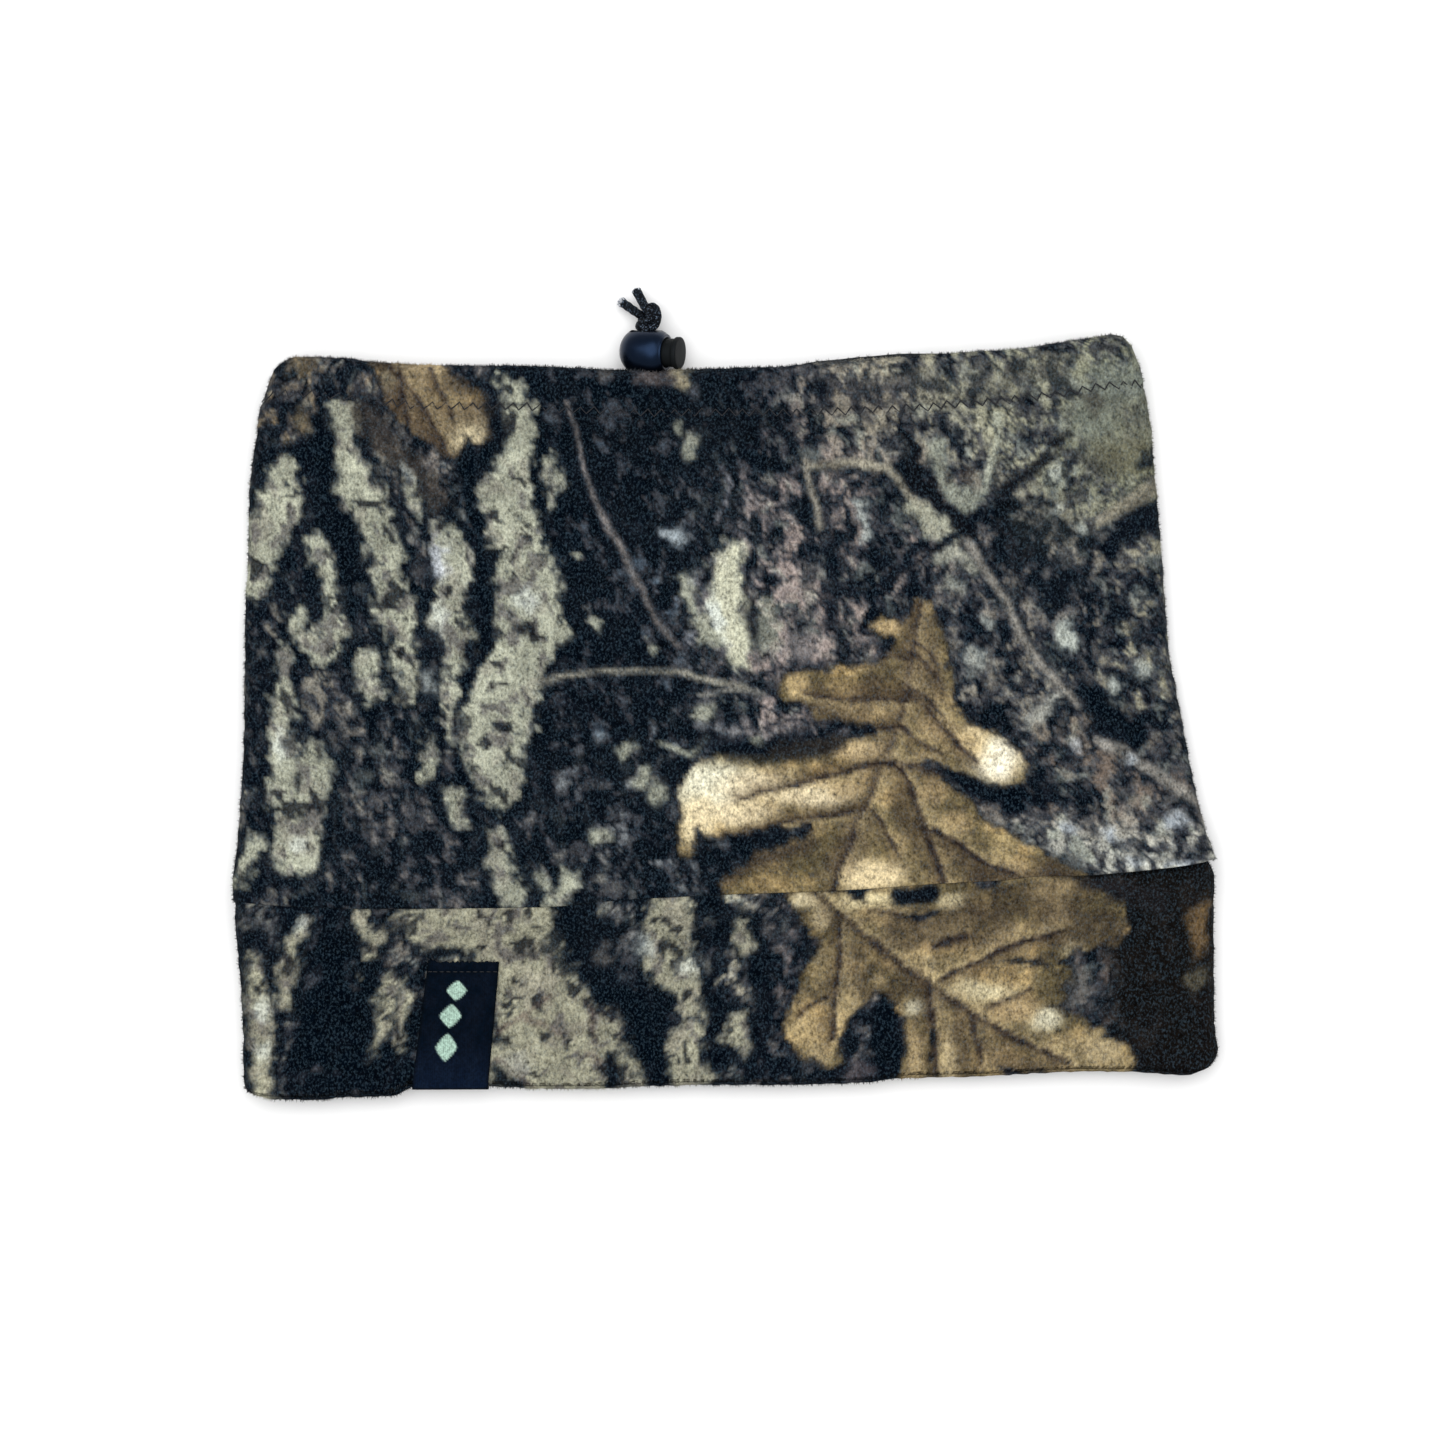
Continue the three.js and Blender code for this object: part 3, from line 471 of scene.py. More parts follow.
def paint_body(U, V):
    p = Painter(U, V, 100)
    p.mottle([
        (300, 420, 75, 55, (112, 97, 74), 0.52), (290, 600, 70, 130, (100, 97, 88), 0.42),
        (430, 560, 90, 180, (112, 106, 99), 0.50), (620, 430, 75, 110, (58, 70, 82), 0.16),
        (600, 600, 60, 110, (56, 72, 86), 0.15), (690, 500, 40, 60, (84, 94, 104), 0.34),
        (770, 560, 60, 100, (124, 113, 108), 0.66), (755, 420, 50, 60, (78, 72, 74), 0.34),
        (860, 400, 60, 45, (124, 118, 104), 0.68), (880, 540, 70, 70, (116, 106, 100), 0.54),
        (1000, 400, 90, 50, (132, 131, 112), 0.74), (1115, 430, 65, 75, (120, 122, 100), 0.98),
        (1040, 590, 80, 70, (106, 101, 94), 0.46), (1150, 640, 45, 80, (120, 117, 98), 0.66),
        (1010, 660, 50, 50, (110, 106, 96), 0.56), (1120, 790, 80, 50, (88, 78, 70), 0.62),
        (1128, 848, 92, 28, (166, 168, 158), 0.95), (630, 800, 75, 75, (92, 96, 99), 0.34),
        (300, 820, 60, 70, (104, 102, 92), 0.40), (450, 850, 100, 50, (92, 88, 86), 0.40),
        (560, 880, 60, 30, (120, 116, 104), 0.42)])
    # vertical bark plates on the left
    p.plates([
        ([(286, 472), (280, 511), (267, 549), (257, 590)], [16, 21, 19, 14]),
        ([(347, 416), (343, 446), (358, 490), (375, 528), (387, 562), (398, 596), (406, 640), (408, 676)], [15, 14, 20, 18, 15, 14, 16, 12]),
        ([(404, 470), (414, 492), (421, 512)], [4, 7, 5]),
        ([(322, 545), (331, 572), (338, 600), (337, 628)], [9, 10, 12, 14]),
        ([(337, 630), (322, 652), (306, 636), (296, 612)], [15, 14, 8, 5]),
        ([(513, 388), (521, 430), (520, 470)], [11, 16, 19]),
        ([(506, 486), (513, 530), (520, 566), (530, 600), (532, 628), (518, 664)], [22, 26, 31, 36, 35, 31]),
        ([(455, 540), (466, 560), (461, 590)], [5, 8, 7]),
        ([(444, 528), (450, 570), (456, 616), (456, 664)], [7, 11, 13, 10]),
        ([(386, 600), (394, 630), (408, 655), (408, 690)], [8, 12, 13, 9]),
        ([(447, 580), (440, 612), (458, 636), (470, 652)], [9, 13, 15, 12]),
        ([(510, 680), (502, 716), (494, 752), (500, 786)], [31, 33, 29, 18]),
        ([(452, 686), (450, 716), (455, 728)], [10, 10, 6]),
        ([(284, 652), (290, 690), (284, 726)], [6, 8, 6]),
        ([(374, 665), (378, 700)], [11, 9]),
        ([(284, 700), (287, 755), (292, 800)], [9, 14, 16]),
        ([(314, 740), (320, 786), (302, 820), (299, 850)], [8, 13, 23, 26]),
        ([(554, 462), (555, 502)], [4, 6]),
        ([(432, 745), (425, 780)], [7, 8]),
        ([(455, 800), (462, 815)], [12, 9]),
        ([(500, 832), (503, 860), (515, 890)], [8, 12, 13]),
        ([(256, 845), (248, 880)], [8, 6]),
        ([(576, 878), (560, 895)], [8, 9])], 9.0, OLIVE)
    for c in ((404, 473, 5, 9), (431, 680, 9, 14), (528, 602, 11, 12), (441, 618, 8, 16), (300, 842, 9, 9), (287, 748, 7, 20)):
        p.lay(p.gauss(*c), PALE, 0.55)
    p.lay(p.soft(p.blob(523, 633, 11, 6, 0), 5), INK, 0.9)
    for c in ((428, 606, 6, 12), (432, 648, 7, 9), (420, 560, 6, 12), (426, 690, 9, 7), (392, 640, 5, 9), (470, 700, 7, 7), (440, 716, 12, 5), (504, 730, 14, 3)):
        p.lay(p.gauss(*c), NAVY, 0.75)
    p.lay(p.gauss(440, 560, 7, 20), (206, 212, 220), 0.8)
    p.lay(p.soft(p.blob(312, 590, 9, 24, 14), 8), NAVY, 0.7)
    p.lay(p.soft(p.blob(352, 596, 10, 26, -6), 8), NAVY, 0.75)
    p.lay(p.soft(p.chain([(470, 470), (478, 520), (490, 570), (486, 625), (478, 660)], [8, 9, 10, 8, 8]), 6), NAVY, 0.92)
    p.lay(p.soft(p.chain([(320, 450), (326, 500), (345, 535), (356, 580)], [13, 12, 12, 12]), 7), NAVY, 0.88)
    # tall pale patch and streaks in the middle
    p.lay(p.soft(p.chain([(728, 560), (727, 600), (735, 655)], [13, 16, 15]) + (p.fine - 0.5) * 8, 9), OLIVEL, 0.95)
    p.lay(p.gauss(719, 618, 8, 22), PALE, 0.8)
    p.lay(p.soft(p.chain([(686, 575), (696, 610), (708, 640)], [6, 7, 8]) + (p.fine - 0.5) * 8, 8), OLIVE, 0.85)
    p.lay(p.soft(p.chain([(770, 600), (764, 640)], [9, 10]) + (p.fine - 0.5) * 10, 10), OLIVE, 0.6)
    p.lay(p.soft(p.chain([(747, 590), (749, 630)], [5, 7]), 7), INK, 0.6)
    p.lay(p.soft(p.chain([(829, 535), (828, 590), (824, 625)], [7, 9, 7]), 8), NAVY, 0.75)
    p.lay(p.gauss(676, 540, 15, 10), (168, 178, 182), 0.85 )
    p.lay(p.gauss(688, 452, 7, 14) + p.gauss(676, 430, 6, 12), OLIVE, 0.7)
    p.lay(p.gauss(800, 650, 26, 14), (150, 142, 138), 0.6)
    # worn tan ground at the neck edge
    p.lay(p.gauss(684, 379, 11, 9), (168, 158, 130), 0.8)
    p.lay(p.gauss(652, 378, 24, 9), (112, 102, 98), 0.7)
    p.lay(p.gauss(604, 378, 8, 9), (118, 112, 104), 0.5)
    for c in ((596, 622, 6, 9), (657, 647, 5, 6), (571, 555, 4, 4), (641, 776, 12, 10), (622, 750, 10, 7), (600, 835, 12, 7), (545, 880, 10, 9), (660, 790, 8, 12), (572, 872, 7, 12), (706, 712, 10, 8), (756, 738, 9, 8)):
        p.lay(p.gauss(*c), OLIVE, 0.8)
    # thin twigs
    p.twig([(569, 408), (577, 440), (584, 470), (602, 512), (622, 550), (642, 590), (662, 628), (678, 645)], [2.0, 2.4, 2.0, 3.4, 3.6, 2.6, 3.2, 2.6], (128, 122, 118), 0.3)
    p.twig([(540, 683), (570, 676), (620, 670), (680, 671), (720, 682), (745, 688)], [2.2, 2.6, 2.6, 2.8, 3.2, 2.6], (160, 156, 140), 0.35)
    p.twig([(700, 694), (740, 690), (765, 694)], [1.8, 2.2, 1.6], (150, 148, 138), 0.3)
    p.twig([(660, 745), (690, 756), (706, 738)], [2.0, 3.0, 2.4], OLIVE, 0.3)
    # worn olive ground in the top right corner
    for c, rgb, k in (((1122, 424, 60, 60), (112, 113, 98), 0.85), ((1112, 384, 46, 18), (124, 133, 126), 0.55), ((1090, 420, 22, 22), (120, 128, 118), 0.5),
                      ((1128, 462, 42, 20), (100, 97, 76), 0.65), ((1112, 362, 8, 8), (60, 66, 70), 0.5), ((1088, 404, 8, 12), (64, 60, 54), 0.6), ((1150, 396, 7, 8), (70, 66, 58), 0.5),
                      ((960, 386, 90, 18), (100, 99, 88), 0.4), ((868, 402, 42, 20), (98, 93, 89), 0.42), ((1040, 372, 46, 14), (112, 110, 94), 0.42), ((1050, 520, 48, 44), (88, 90, 76), 0.3)):
        p.lay(p.gauss(*c) * (0.85 + 0.3 * (p.mid - 0.5)), rgb, k)
    # right side: twigs, small leaves, a forked branch
    p.twig([(806, 462), (812, 492), (818, 526)], [3.0, 4.0, 4.5], (150, 144, 130), 0.5)
    p.twig([(812, 468), (850, 466), (884, 468), (903, 488), (926, 512)], [3.6, 4.4, 4.6, 4.6, 5.0], (158, 152, 134), 0.55)
    p.twig([(1000, 432), (988, 470), (984, 492)], [2.4, 3.0, 3.6], (166, 170, 154), 0.3)
    p.lay(p.soft(p.chain([(938, 455), (944, 482), (962, 503), (974, 492)], [8, 10, 10, 7]), 7), (158, 162, 146), 0.85)
    p.lay(p.soft(p.chain([(945, 466), (949, 480)], [4, 5]), 5), UMBER, 0.7)
    p.lay(p.soft(p.chain([(967, 464), (973, 486)], [4, 5]), 5), UMBER, 0.6)
    p.lay(p.soft(p.chain([(864, 508), (868, 534)], [5, 6]), 6), PALE, 0.7)
    p.lay(p.soft(p.chain([(912, 506), (926, 530), (948, 530)], [6, 11, 6]), 7), (172, 172, 152), 0.9)
    p.lay(p.soft(p.chain([(938, 560), (960, 548), (978, 560)], [8, 12, 8]), 8), (168, 168, 152), 0.85)
    p.lay(p.soft(p.blob(955, 588, 9, 9), 7), (158, 160, 148), 0.8)
    p.lay(p.soft(p.chain([(905, 440), (918, 480), (938, 508), (962, 530), (984, 552)], [7, 9, 8, 9, 7]), 5), INK, 0.93)
    p.lay(p.soft(p.chain([(888, 588), (918, 560), (958, 536)], [6, 5, 5]), 5), NAVY, 0.85)
    p.lay(p.soft(p.chain([(1004, 486), (1030, 468), (1066, 438)], [7, 6, 4]), 6), INK, 0.85)
    p.lay(p.soft(p.chain([(1000, 498), (1012, 540), (1020, 600)], [8, 6, 6]), 7), INK, 0.6)
    p.twig([(968, 546), (986, 572), (1006, 604), (1022, 640), (1038, 664), (1062, 690), (1076, 706)], [6, 5, 4.5, 4.2, 6, 4.5, 3.6], (158, 153, 143), 0.85)
    p.lay(p.soft(p.chain([(1108, 546), (1135, 528), (1165, 508)], [10, 12, 14]), 7), NAVY, 0.9)
    p.twig([(1098, 522), (1124, 504), (1160, 482)], [5, 8, 10], (146, 140, 122), 0.2)
    p.lay(p.soft(p.chain([(1140, 462), (1160, 450)], [5, 7]), 6), NAVY, 0.85)
    for c, k in (((1067, 640, 10, 14), 0.95), ((1084, 528, 8, 11), 0.8), ((1054, 512, 7, 9), 0.6), ((1138, 668, 12, 11), 0.75), ((1108, 682, 7, 9), 0.8), ((1052, 468, 4, 12), 0.6), ((900, 716, 4, 4), 0.2), ((985, 622, 6, 10), 0.6), ((975, 660, 14, 10), 0.6)):
        p.lay(p.gauss(*c), (184, 190, 180), k)
    p.lay(p.soft(p.chain([(1026, 722), (1056, 704)], [5, 6]), 6), (168, 168, 158), 0.9)
    p.lay(p.soft(p.chain([(1092, 696), (1106, 728), (1132, 742)], [10, 15, 10]), 8), NAVY, 0.92)
    p.twig([(1095, 742), (1122, 752), (1150, 770), (1178, 790), (1200, 806)], [5, 7, 6, 6, 5], (142, 138, 130), 0.3)
    for c, k in (((1128, 757, 10, 7), 0.8), ((1076, 744, 7, 6), 0.6), ((1066, 832, 10, 8), 0.8), ((1106, 838, 10, 8), 0.85), ((1170, 820, 12, 8), 0.75), ((1130, 858, 12, 6), 0.6), ((1180, 862, 14, 5), 0.7)):
        p.lay(p.gauss(*c), (176, 184, 190), k)
    p.lay(p.soft(p.chain([(985, 800), (1020, 803), (1060, 793)], [8, 9, 7]), 8), NAVY, 0.85)
    # part of a dry leaf at the top left
    p.leaf([([(400, 352), (425, 395), (452, 440)], [26, 34, 16]), ([(425, 385), (470, 412), (486, 434)], [24, 22, 12]), ([(380, 352), (440, 352)], [16, 14])],
           [([(392, 362), (420, 402), (448, 448)], [1.6, 2.2, 1.6]), ([(405, 372), (412, 430)], [1.4, 1.4]), ([(434, 372), (456, 420)], [1.2, 1.2])],
           [(470, 437, 18, 15, (214, 200, 164), 1.0), (432, 368, 14, 14, (190, 170, 132), 0.9), (422, 436, 8, 12, (176, 158, 122), 0.7), (396, 384, 8, 16, (160, 156, 134), 0.8), (446, 404, 22, 8, (160, 142, 104), 0.6)],
           [([(400, 400), (440, 450)], [12, 10], 0.75), ([(410, 352), (408, 372)], [5, 4], 0.5)], (140, 124, 94), (78, 68, 54))
    p.lay(p.soft(p.chain([(462, 466), (488, 458), (506, 448), (500, 428)], [8, 8, 8, 5]), 6), NAVY, 0.92)
    p.lay(p.gauss(302, 368, 12, 18) + p.gauss(306, 425, 10, 14), (138, 120, 88), 0.55)
    p.lay(p.soft(p.chain([(365, 420), (400, 455), (430, 480), (440, 500)], [10, 14, 12, 8]) + (p.fine - 0.5) * 10, 12), (62, 56, 50), 0.75)
    p.lay(p.soft(p.chain([(290, 452), (318, 452), (330, 425)], [9, 11, 10]), 8), NAVY, 0.85)
    # the big oak leaf, running under the seam
    p.leaf([
        ([(906, 738), (911, 690), (917, 640), (921, 606)], [30, 44, 26, 6]),
        ([(884, 628), (906, 636)], [11, 14]),
        ([(890, 700), (850, 692), (806, 688), (786, 688)], [34, 27, 17, 12]),
        ([(846, 712), (820, 712)], [10, 8]),
        ([(890, 770), (830, 776), (764, 788), (716, 796)], [32, 38, 40, 40]),
        ([(690, 820), (686, 848)], [13, 8]),
        ([(905, 712), (950, 742), (998, 764)], [32, 27, 24]),
        ([(885, 800), (880, 850), (870, 900)], [44, 70, 90]),
        ([(880, 860), (800, 866), (736, 890)], [36, 30, 18]),
        ([(920, 800), (970, 850), (1030, 880), (1075, 892)], [30, 34, 30, 22])],
        [([(922, 600), (915, 645), (905, 690), (895, 735), (880, 764)], [1.2, 2.0, 2.5, 3.0, 3.2]),
         ([(880, 764), (868, 800), (850, 840), (836, 880), (828, 905)], [3.0, 2.4, 2.2, 2.2, 2.0]),
         ([(880, 764), (838, 774), (800, 784), (770, 790), (740, 800)], [2.8, 2.4, 2.0, 1.4, 1.0]),
         ([(893, 730), (862, 730), (822, 722)], [2.4, 2.0, 1.2]),
         ([(905, 690), (930, 712), (952, 738), (975, 760)], [1.8, 2.2, 2.0, 1.4]),
         ([(900, 728), (922, 742), (940, 756)], [1.6, 1.8, 1.2]),
         ([(880, 764), (905, 765), (935, 772), (962, 778)], [2.8, 3.0, 3.8, 3.0]),
         ([(900, 770), (915, 795), (925, 830), (935, 860), (944, 896)], [2.0, 2.4, 2.9, 2.9, 2.6]),
         ([(930, 828), (952, 840), (985, 862), (1010, 872)], [2.0, 2.4, 2.2, 1.4]),
         ([(855, 812), (830, 814), (800, 818), (770, 826)], [2.0, 1.8, 1.4, 1.0]),
         ([(872, 810), (886, 832), (898, 852)], [1.2, 1.4, 1.0]),
         ([(908, 660), (890, 655), (870, 664)], [1.4, 1.6, 1.2]), ([(910, 650), (930, 668), (944, 692)], [1.4, 1.6, 1.2]),
         ([(914, 640), (928, 652), (938, 668)], [1.0, 1.4, 1.0]), ([(906, 684), (926, 700), (944, 716)], [1.0, 1.4, 1.0]),
         ([(903, 700), (872, 700), (836, 700), (806, 692)], [1.8, 2.0, 1.6, 1.0])],
        [(714, 786, 40, 28, CREAM, 1.0), (756, 786, 34, 16, (244, 228, 190), 0.9), (700, 822, 18, 26, (240, 222, 178), 0.9),
         (738, 812, 40, 12, (240, 222, 182), 0.85), (812, 796, 42, 11, (246, 230, 192), 0.95), (862, 752, 24, 10, (222, 198, 152), 0.95), (846, 790, 18, 9, (190, 166, 122), 0.7),
         (994, 758, 24, 22, (255, 248, 222), 1.0), (975, 740, 14, 16, (226, 206, 162), 0.8), (936, 726, 16, 12, (190, 166, 122), 0.8), (964, 744, 16, 12, (186, 162, 118), 0.7),
         (884, 628, 15, 7, (196, 172, 128), 0.9), (866, 662, 16, 8, (184, 160, 116), 0.7), (796, 686, 12, 12, (198, 174, 126), 0.9), (846, 690, 18, 8, (170, 148, 106), 0.6),
         (878, 716, 14, 10, (196, 170, 124), 0.7), (868, 874, 34, 16, (232, 212, 168), 0.95), (896, 840, 10, 12, (184, 162, 118), 0.6), (932, 790, 12, 12, (178, 152, 110), 0.6),
         (954, 822, 20, 10, (182, 158, 116), 0.7), (950, 885, 18, 9, (172, 150, 108), 0.5), (1016, 866, 20, 8, (142, 124, 92), 0.6), (760, 884, 26, 8, (150, 128, 88), 0.6)],
        [([(918, 620), (925, 680), (930, 700)], [16, 18, 8], 0.50), ([(872, 690), (850, 712), (800, 704)], [14, 14, 8], 0.5), ([(756, 742), (800, 744), (836, 742)], [10, 12, 8], 0.75),
         ([(700, 846), (744, 834), (776, 828)], [5, 7, 4], 0.85), ([(860, 830), (844, 860)], [12, 14], 0.45), ([(900, 800), (910, 830)], [12, 10], 0.4),
         ([(716, 872), (770, 856), (812, 842)], [12, 9, 5], 0.7), ([(985, 880), (1050, 892)], [16, 22], 0.6), ([(950, 850), (975, 880)], [14, 12], 0.4), ([(1046, 868), (1066, 880)], [12, 12], 0.5)], (156, 138, 98), (92, 82, 56))
    p.lay(p.soft(p.chain([(700, 740), (760, 752), (820, 748), (850, 736)], [9, 11, 9, 5], "l") , 8), NAVY, 0.55)
    p.lay(p.soft(p.chain([(712, 862), (744, 846), (776, 836)], [5, 6, 4], "l"), 5), NAVY, 0.8)
    p.lay(p.soft(p.chain([(955, 778), (985, 792), (1015, 792)], [6, 9, 9], "l"), 6), NAVY, 0.9)
    return p.col


def paint_band(U, V):
    p = Painter(U, V, 300)
    p.mottle([
        (262, 1000, 26, 100, (140, 139, 122), 0.60), (340, 1000, 55, 90, (66, 66, 70), 0.20),
        (395, 960, 30, 60, (124, 112, 100), 0.56), (480, 930, 80, 40, (158, 155, 131), 1.0),
        (560, 1030, 60, 60, (156, 152, 130), 1.0), (640, 1000, 30, 70, (60, 62, 70), 0.2),
        (700, 950, 50, 60, (148, 144, 126), 0.62), (745, 1050, 60, 40, (112, 106, 98), 0.48),
        (790, 970, 25, 60, (78, 72, 72), 0.40), (1110, 1000, 40, 60, (84, 76, 72), 0.45),
        (1170, 970, 50, 110, (56, 47, 43), 0.85)], 16, 19, 140)
    p.plates([
        ([(258, 955), (257, 1000), (262, 1045), (264, 1088)], [9, 14, 17, 12]),
        ([(304, 922), (292, 958), (284, 1000)], [6, 8, 7]),
        ([(365, 912), (378, 936), (368, 958)], [7, 9, 8]),
        ([(390, 985), (382, 1030), (372, 1052)], [10, 9, 8]),
        ([(408, 1000), (404, 1035)], [8, 8]),
        ([(410, 918), (440, 924), (480, 924), (540, 928)], [12, 24, 26, 30]),
        ([(515, 950), (540, 1000), (575, 1030), (600, 1070)], [34, 44, 46, 38]),
        ([(500, 1060), (560, 1085)], [22, 26]),
        ([(672, 912), (664, 950), (684, 985), (690, 1005)], [20, 24, 20, 14]),
        ([(690, 1040), (688, 1075)], [20, 22]),
        ([(633, 1050), (636, 1078)], [6, 8]),
        ([(742, 925), (750, 950)], [8, 7]),
        ([(738, 1030), (745, 1048)], [13, 8])], 8.0, (160, 158, 136))
    for c in ((300, 924, 6, 10), (262, 1050, 10, 12), (688, 962, 14, 10), (640, 945, 8, 12), (262, 1010, 8, 14)):
        p.lay(p.gauss(*c), PALE, 0.55)
    for pts, rads, k in (
            ([(336, 905), (334, 960), (330, 1010), (312, 1050)], [10, 14, 26, 20], 0.94),
            ([(356, 1000), (356, 1050)], [18, 22], 0.85),
            ([(300, 1070), (345, 1080), (400, 1078)], [6, 8, 14], 0.8),
            ([(575, 905), (590, 940), (600, 975), (628, 1000), (652, 1030), (662, 1070), (660, 1095)], [22, 22, 14, 16, 15, 10, 10], 0.95),
            ([(620, 1050), (616, 1085)], [7, 8], 0.9), ([(552, 945), (566, 920)], [6, 10], 0.7),
            ([(712, 900), (726, 930), (712, 975), (722, 1010)], [12, 9, 8, 8], 0.85),
            ([(766, 960), (764, 1010), (756, 1060)], [12, 15, 10], 0.85),
            ([(712, 1025), (716, 1060)], [6, 8], 0.75),
            ([(262, 930), (272, 965)], [9, 9], 0.8), ([(240, 940), (245, 1085)], [3, 5], 0.5),
            ([(498, 1075), (515, 1090)], [8, 10], 0.85), ([(420, 960), (440, 955)], [6, 8], 0.7)):
        p.lay(p.soft(p.chain(pts, rads) + (p.fine - 0.5) * 9, 7), NAVY, k)
    p.lay(p.soft(p.blob(602, 955, 9, 7, 30), 7), (130, 124, 116), 0.6)
    # a pale leaf beside the label, only its thin veins showing
    for pts in ([(500, 1028), (528, 1012), (552, 996)], [(520, 1016), (545, 1025), (562, 1034)], [(498, 1058), (520, 1070), (534, 1082)], [(590, 1005), (596, 1040)], [(590, 1052), (604, 1062)]):
        p.lay(p.soft(p.chain(pts, 1.5, "l") + (p.fine - 0.5) * 2, 3.4), (84, 70, 66), 0.75)
    p.lay(p.soft(p.blob(512, 1036, 3, 6, 20), 3), INK, 0.7)
    p.lay(p.gauss(520, 1062, 16, 12), (160, 160, 148), 0.7)
    # dark right end
    p.lay(smooth((p.Uw - 1092) / 36) * 0.96, (15, 12, 10))
    p.lay(smooth((fbm(p.Uw, p.Vw, 18, 18, 3, 320) - 0.6) / 0.2) * smooth((p.Uw - 1096) / 34) * 0.35, (48, 42, 38))
    p.lay(p.gauss(1200, 925, 11, 30), (128, 104, 70), 0.75)
    p.lay(p.gauss(1194, 978, 14, 12), (110, 104, 84), 0.7)
    p.lay(p.gauss(1075, 985, 16, 24), (142, 136, 126), 0.7)
    p.lay(p.soft(p.chain([(880, 1010), (890, 1050), (870, 1085)], [12, 18, 24]), 8), NAVY, 0.95)
    p.lay(p.gauss(858, 1070, 16, 12), (96, 88, 90), 0.7)
    # second oak leaf
    p.leaf([
        ([(798, 893), (828, 915), (868, 945)], [13, 26, 36]),
        ([(860, 950), (830, 990), (812, 1030), (826, 1052)], [34, 34, 27, 12]),
        ([(892, 950), (935, 985), (985, 1020)], [38, 42, 34]),
        ([(918, 1000), (916, 1050), (918, 1095)], [13, 15, 22]),
        ([(955, 1010), (962, 1060), (966, 1100)], [24, 36, 42]),
        ([(930, 945), (990, 925), (1050, 918), (1104, 920)], [30, 38, 40, 24]),
        ([(1020, 905), (1060, 885)], [32, 28]),
        ([(985, 985), (1040, 985), (1056, 975)], [28, 24, 14]),
        ([(1000, 1030), (1060, 1042), (1108, 1060)], [34, 32, 22]),
        ([(880, 900), (960, 890)], [16, 18])],
        [([(812, 888), (842, 912), (872, 938), (900, 962), (926, 980)], [1.4, 2.0, 2.5, 2.7, 3.0]),
         ([(926, 980), (950, 1000), (975, 1016), (1005, 1032), (1040, 1048), (1066, 1062)], [3.0, 2.8, 2.8, 2.6, 2.2, 1.6]),
         ([(842, 925), (838, 965), (834, 1005), (830, 1040)], [1.6, 2.0, 2.0, 1.4]),
         ([(826, 996), (806, 1006), (796, 1016)], [1.0, 1.4, 1.0]),
         ([(926, 980), (931, 1015), (934, 1050), (936, 1075)], [2.2, 2.2, 2.4, 1.6]),
         ([(970, 1014), (976, 1040), (980, 1066)], [1.8, 2.2, 1.6]),
         ([(940, 975), (970, 962), (1000, 948), (1030, 938), (1056, 930)], [1.8, 2.0, 2.4, 1.8, 1.4]),
         ([(985, 1006), (1008, 994), (1026, 986)], [1.2, 1.8, 1.4]),
         ([(866, 908), (890, 912), (920, 916)], [1.2, 1.4, 1.0]),
         ([(936, 946), (950, 938), (962, 932)], [3.6, 4.0, 2.4])],
        [(803, 898, 15, 9, (214, 200, 162), 1.0), (822, 916, 10, 14, (204, 188, 150), 0.8), (864, 899, 30, 7, (214, 200, 158), 1.0),
         (880, 978, 7, 8, (180, 160, 120), 0.7), (916, 1004, 10, 8, (210, 204, 176), 1.0), (980, 990, 30, 10, (210, 198, 160), 1.0), (948, 900, 15, 8, (206, 192, 152), 0.9),
         (1044, 1018, 15, 11, (212, 206, 178), 1.0), (1098, 1048, 18, 16, (186, 168, 130), 0.8), (806, 1030, 16, 16, (186, 164, 120), 0.9), (818, 1052, 12, 10, (196, 176, 134), 0.7),
         (914, 1060, 9, 30, (190, 168, 126), 0.8), (948, 1060, 8, 28, (196, 178, 138), 0.8), (1012, 1008, 24, 10, (186, 162, 120), 0.8),
         (1000, 1060, 30, 12, (168, 146, 104), 0.7), (1070, 948, 10, 9, (186, 174, 138), 0.8), (854, 1000, 8, 26, (168, 150, 112), 0.6), (822, 960, 10, 20, (160, 144, 108), 0.6)],
        [([(900, 930), (960, 925), (1000, 930)], [20, 22, 16], 0.42), ([(870, 1000), (895, 990)], [7, 5], 0.5), ([(1050, 925), (1105, 930)], [18, 20], 0.45),
         ([(975, 900), (1030, 900), (1070, 890)], [16, 18, 20], 0.35), ([(985, 1050), (1040, 1075)], [10, 12], 0.35), ([(850, 950), (860, 985)], [12, 12], 0.35), ([(956, 1030), (966, 1090)], [8, 8], 0.4)], (158, 140, 102), (98, 87, 60))
    p.lay(p.soft(p.chain([(896, 896), (928, 892)], [8, 9], "l"), 4), NAVY, 0.95)
    p.lay(p.soft(p.chain([(1085, 878), (1120, 896), (1160, 900)], [8, 10, 12]), 8), (30, 27, 28), 0.9)
    p.lay(smooth((p.U - 1176) / 10) * 0, NAVY)
    return p.col


def wrapped(x, y, sx, nx, nz, left, right, T):
    """Print coordinates: the front reads straight, the back carries on round the folds."""
    U = x / 0.275 + 725
    V = 1098 - y / 0.275
    back = nz < 0
    edge_r, edge_l = right / 0.275 + 725, left / 0.275 + 725
    mid = (EXIT_X / 0.275 + 725)
    Ub = np.where(U > mid, edge_r - (edge_r - U) * 0.62 - 30, edge_l + (U - edge_l) * 0.9 + 12)
    Vb = V + np.where(U > mid, 24.0, -18.0)
    w = smooth(-nz / 0.9)
    return np.where(back, U * (1 - w) + Ub * w, U), np.where(back, V * (1 - w) + Vb * w, V)


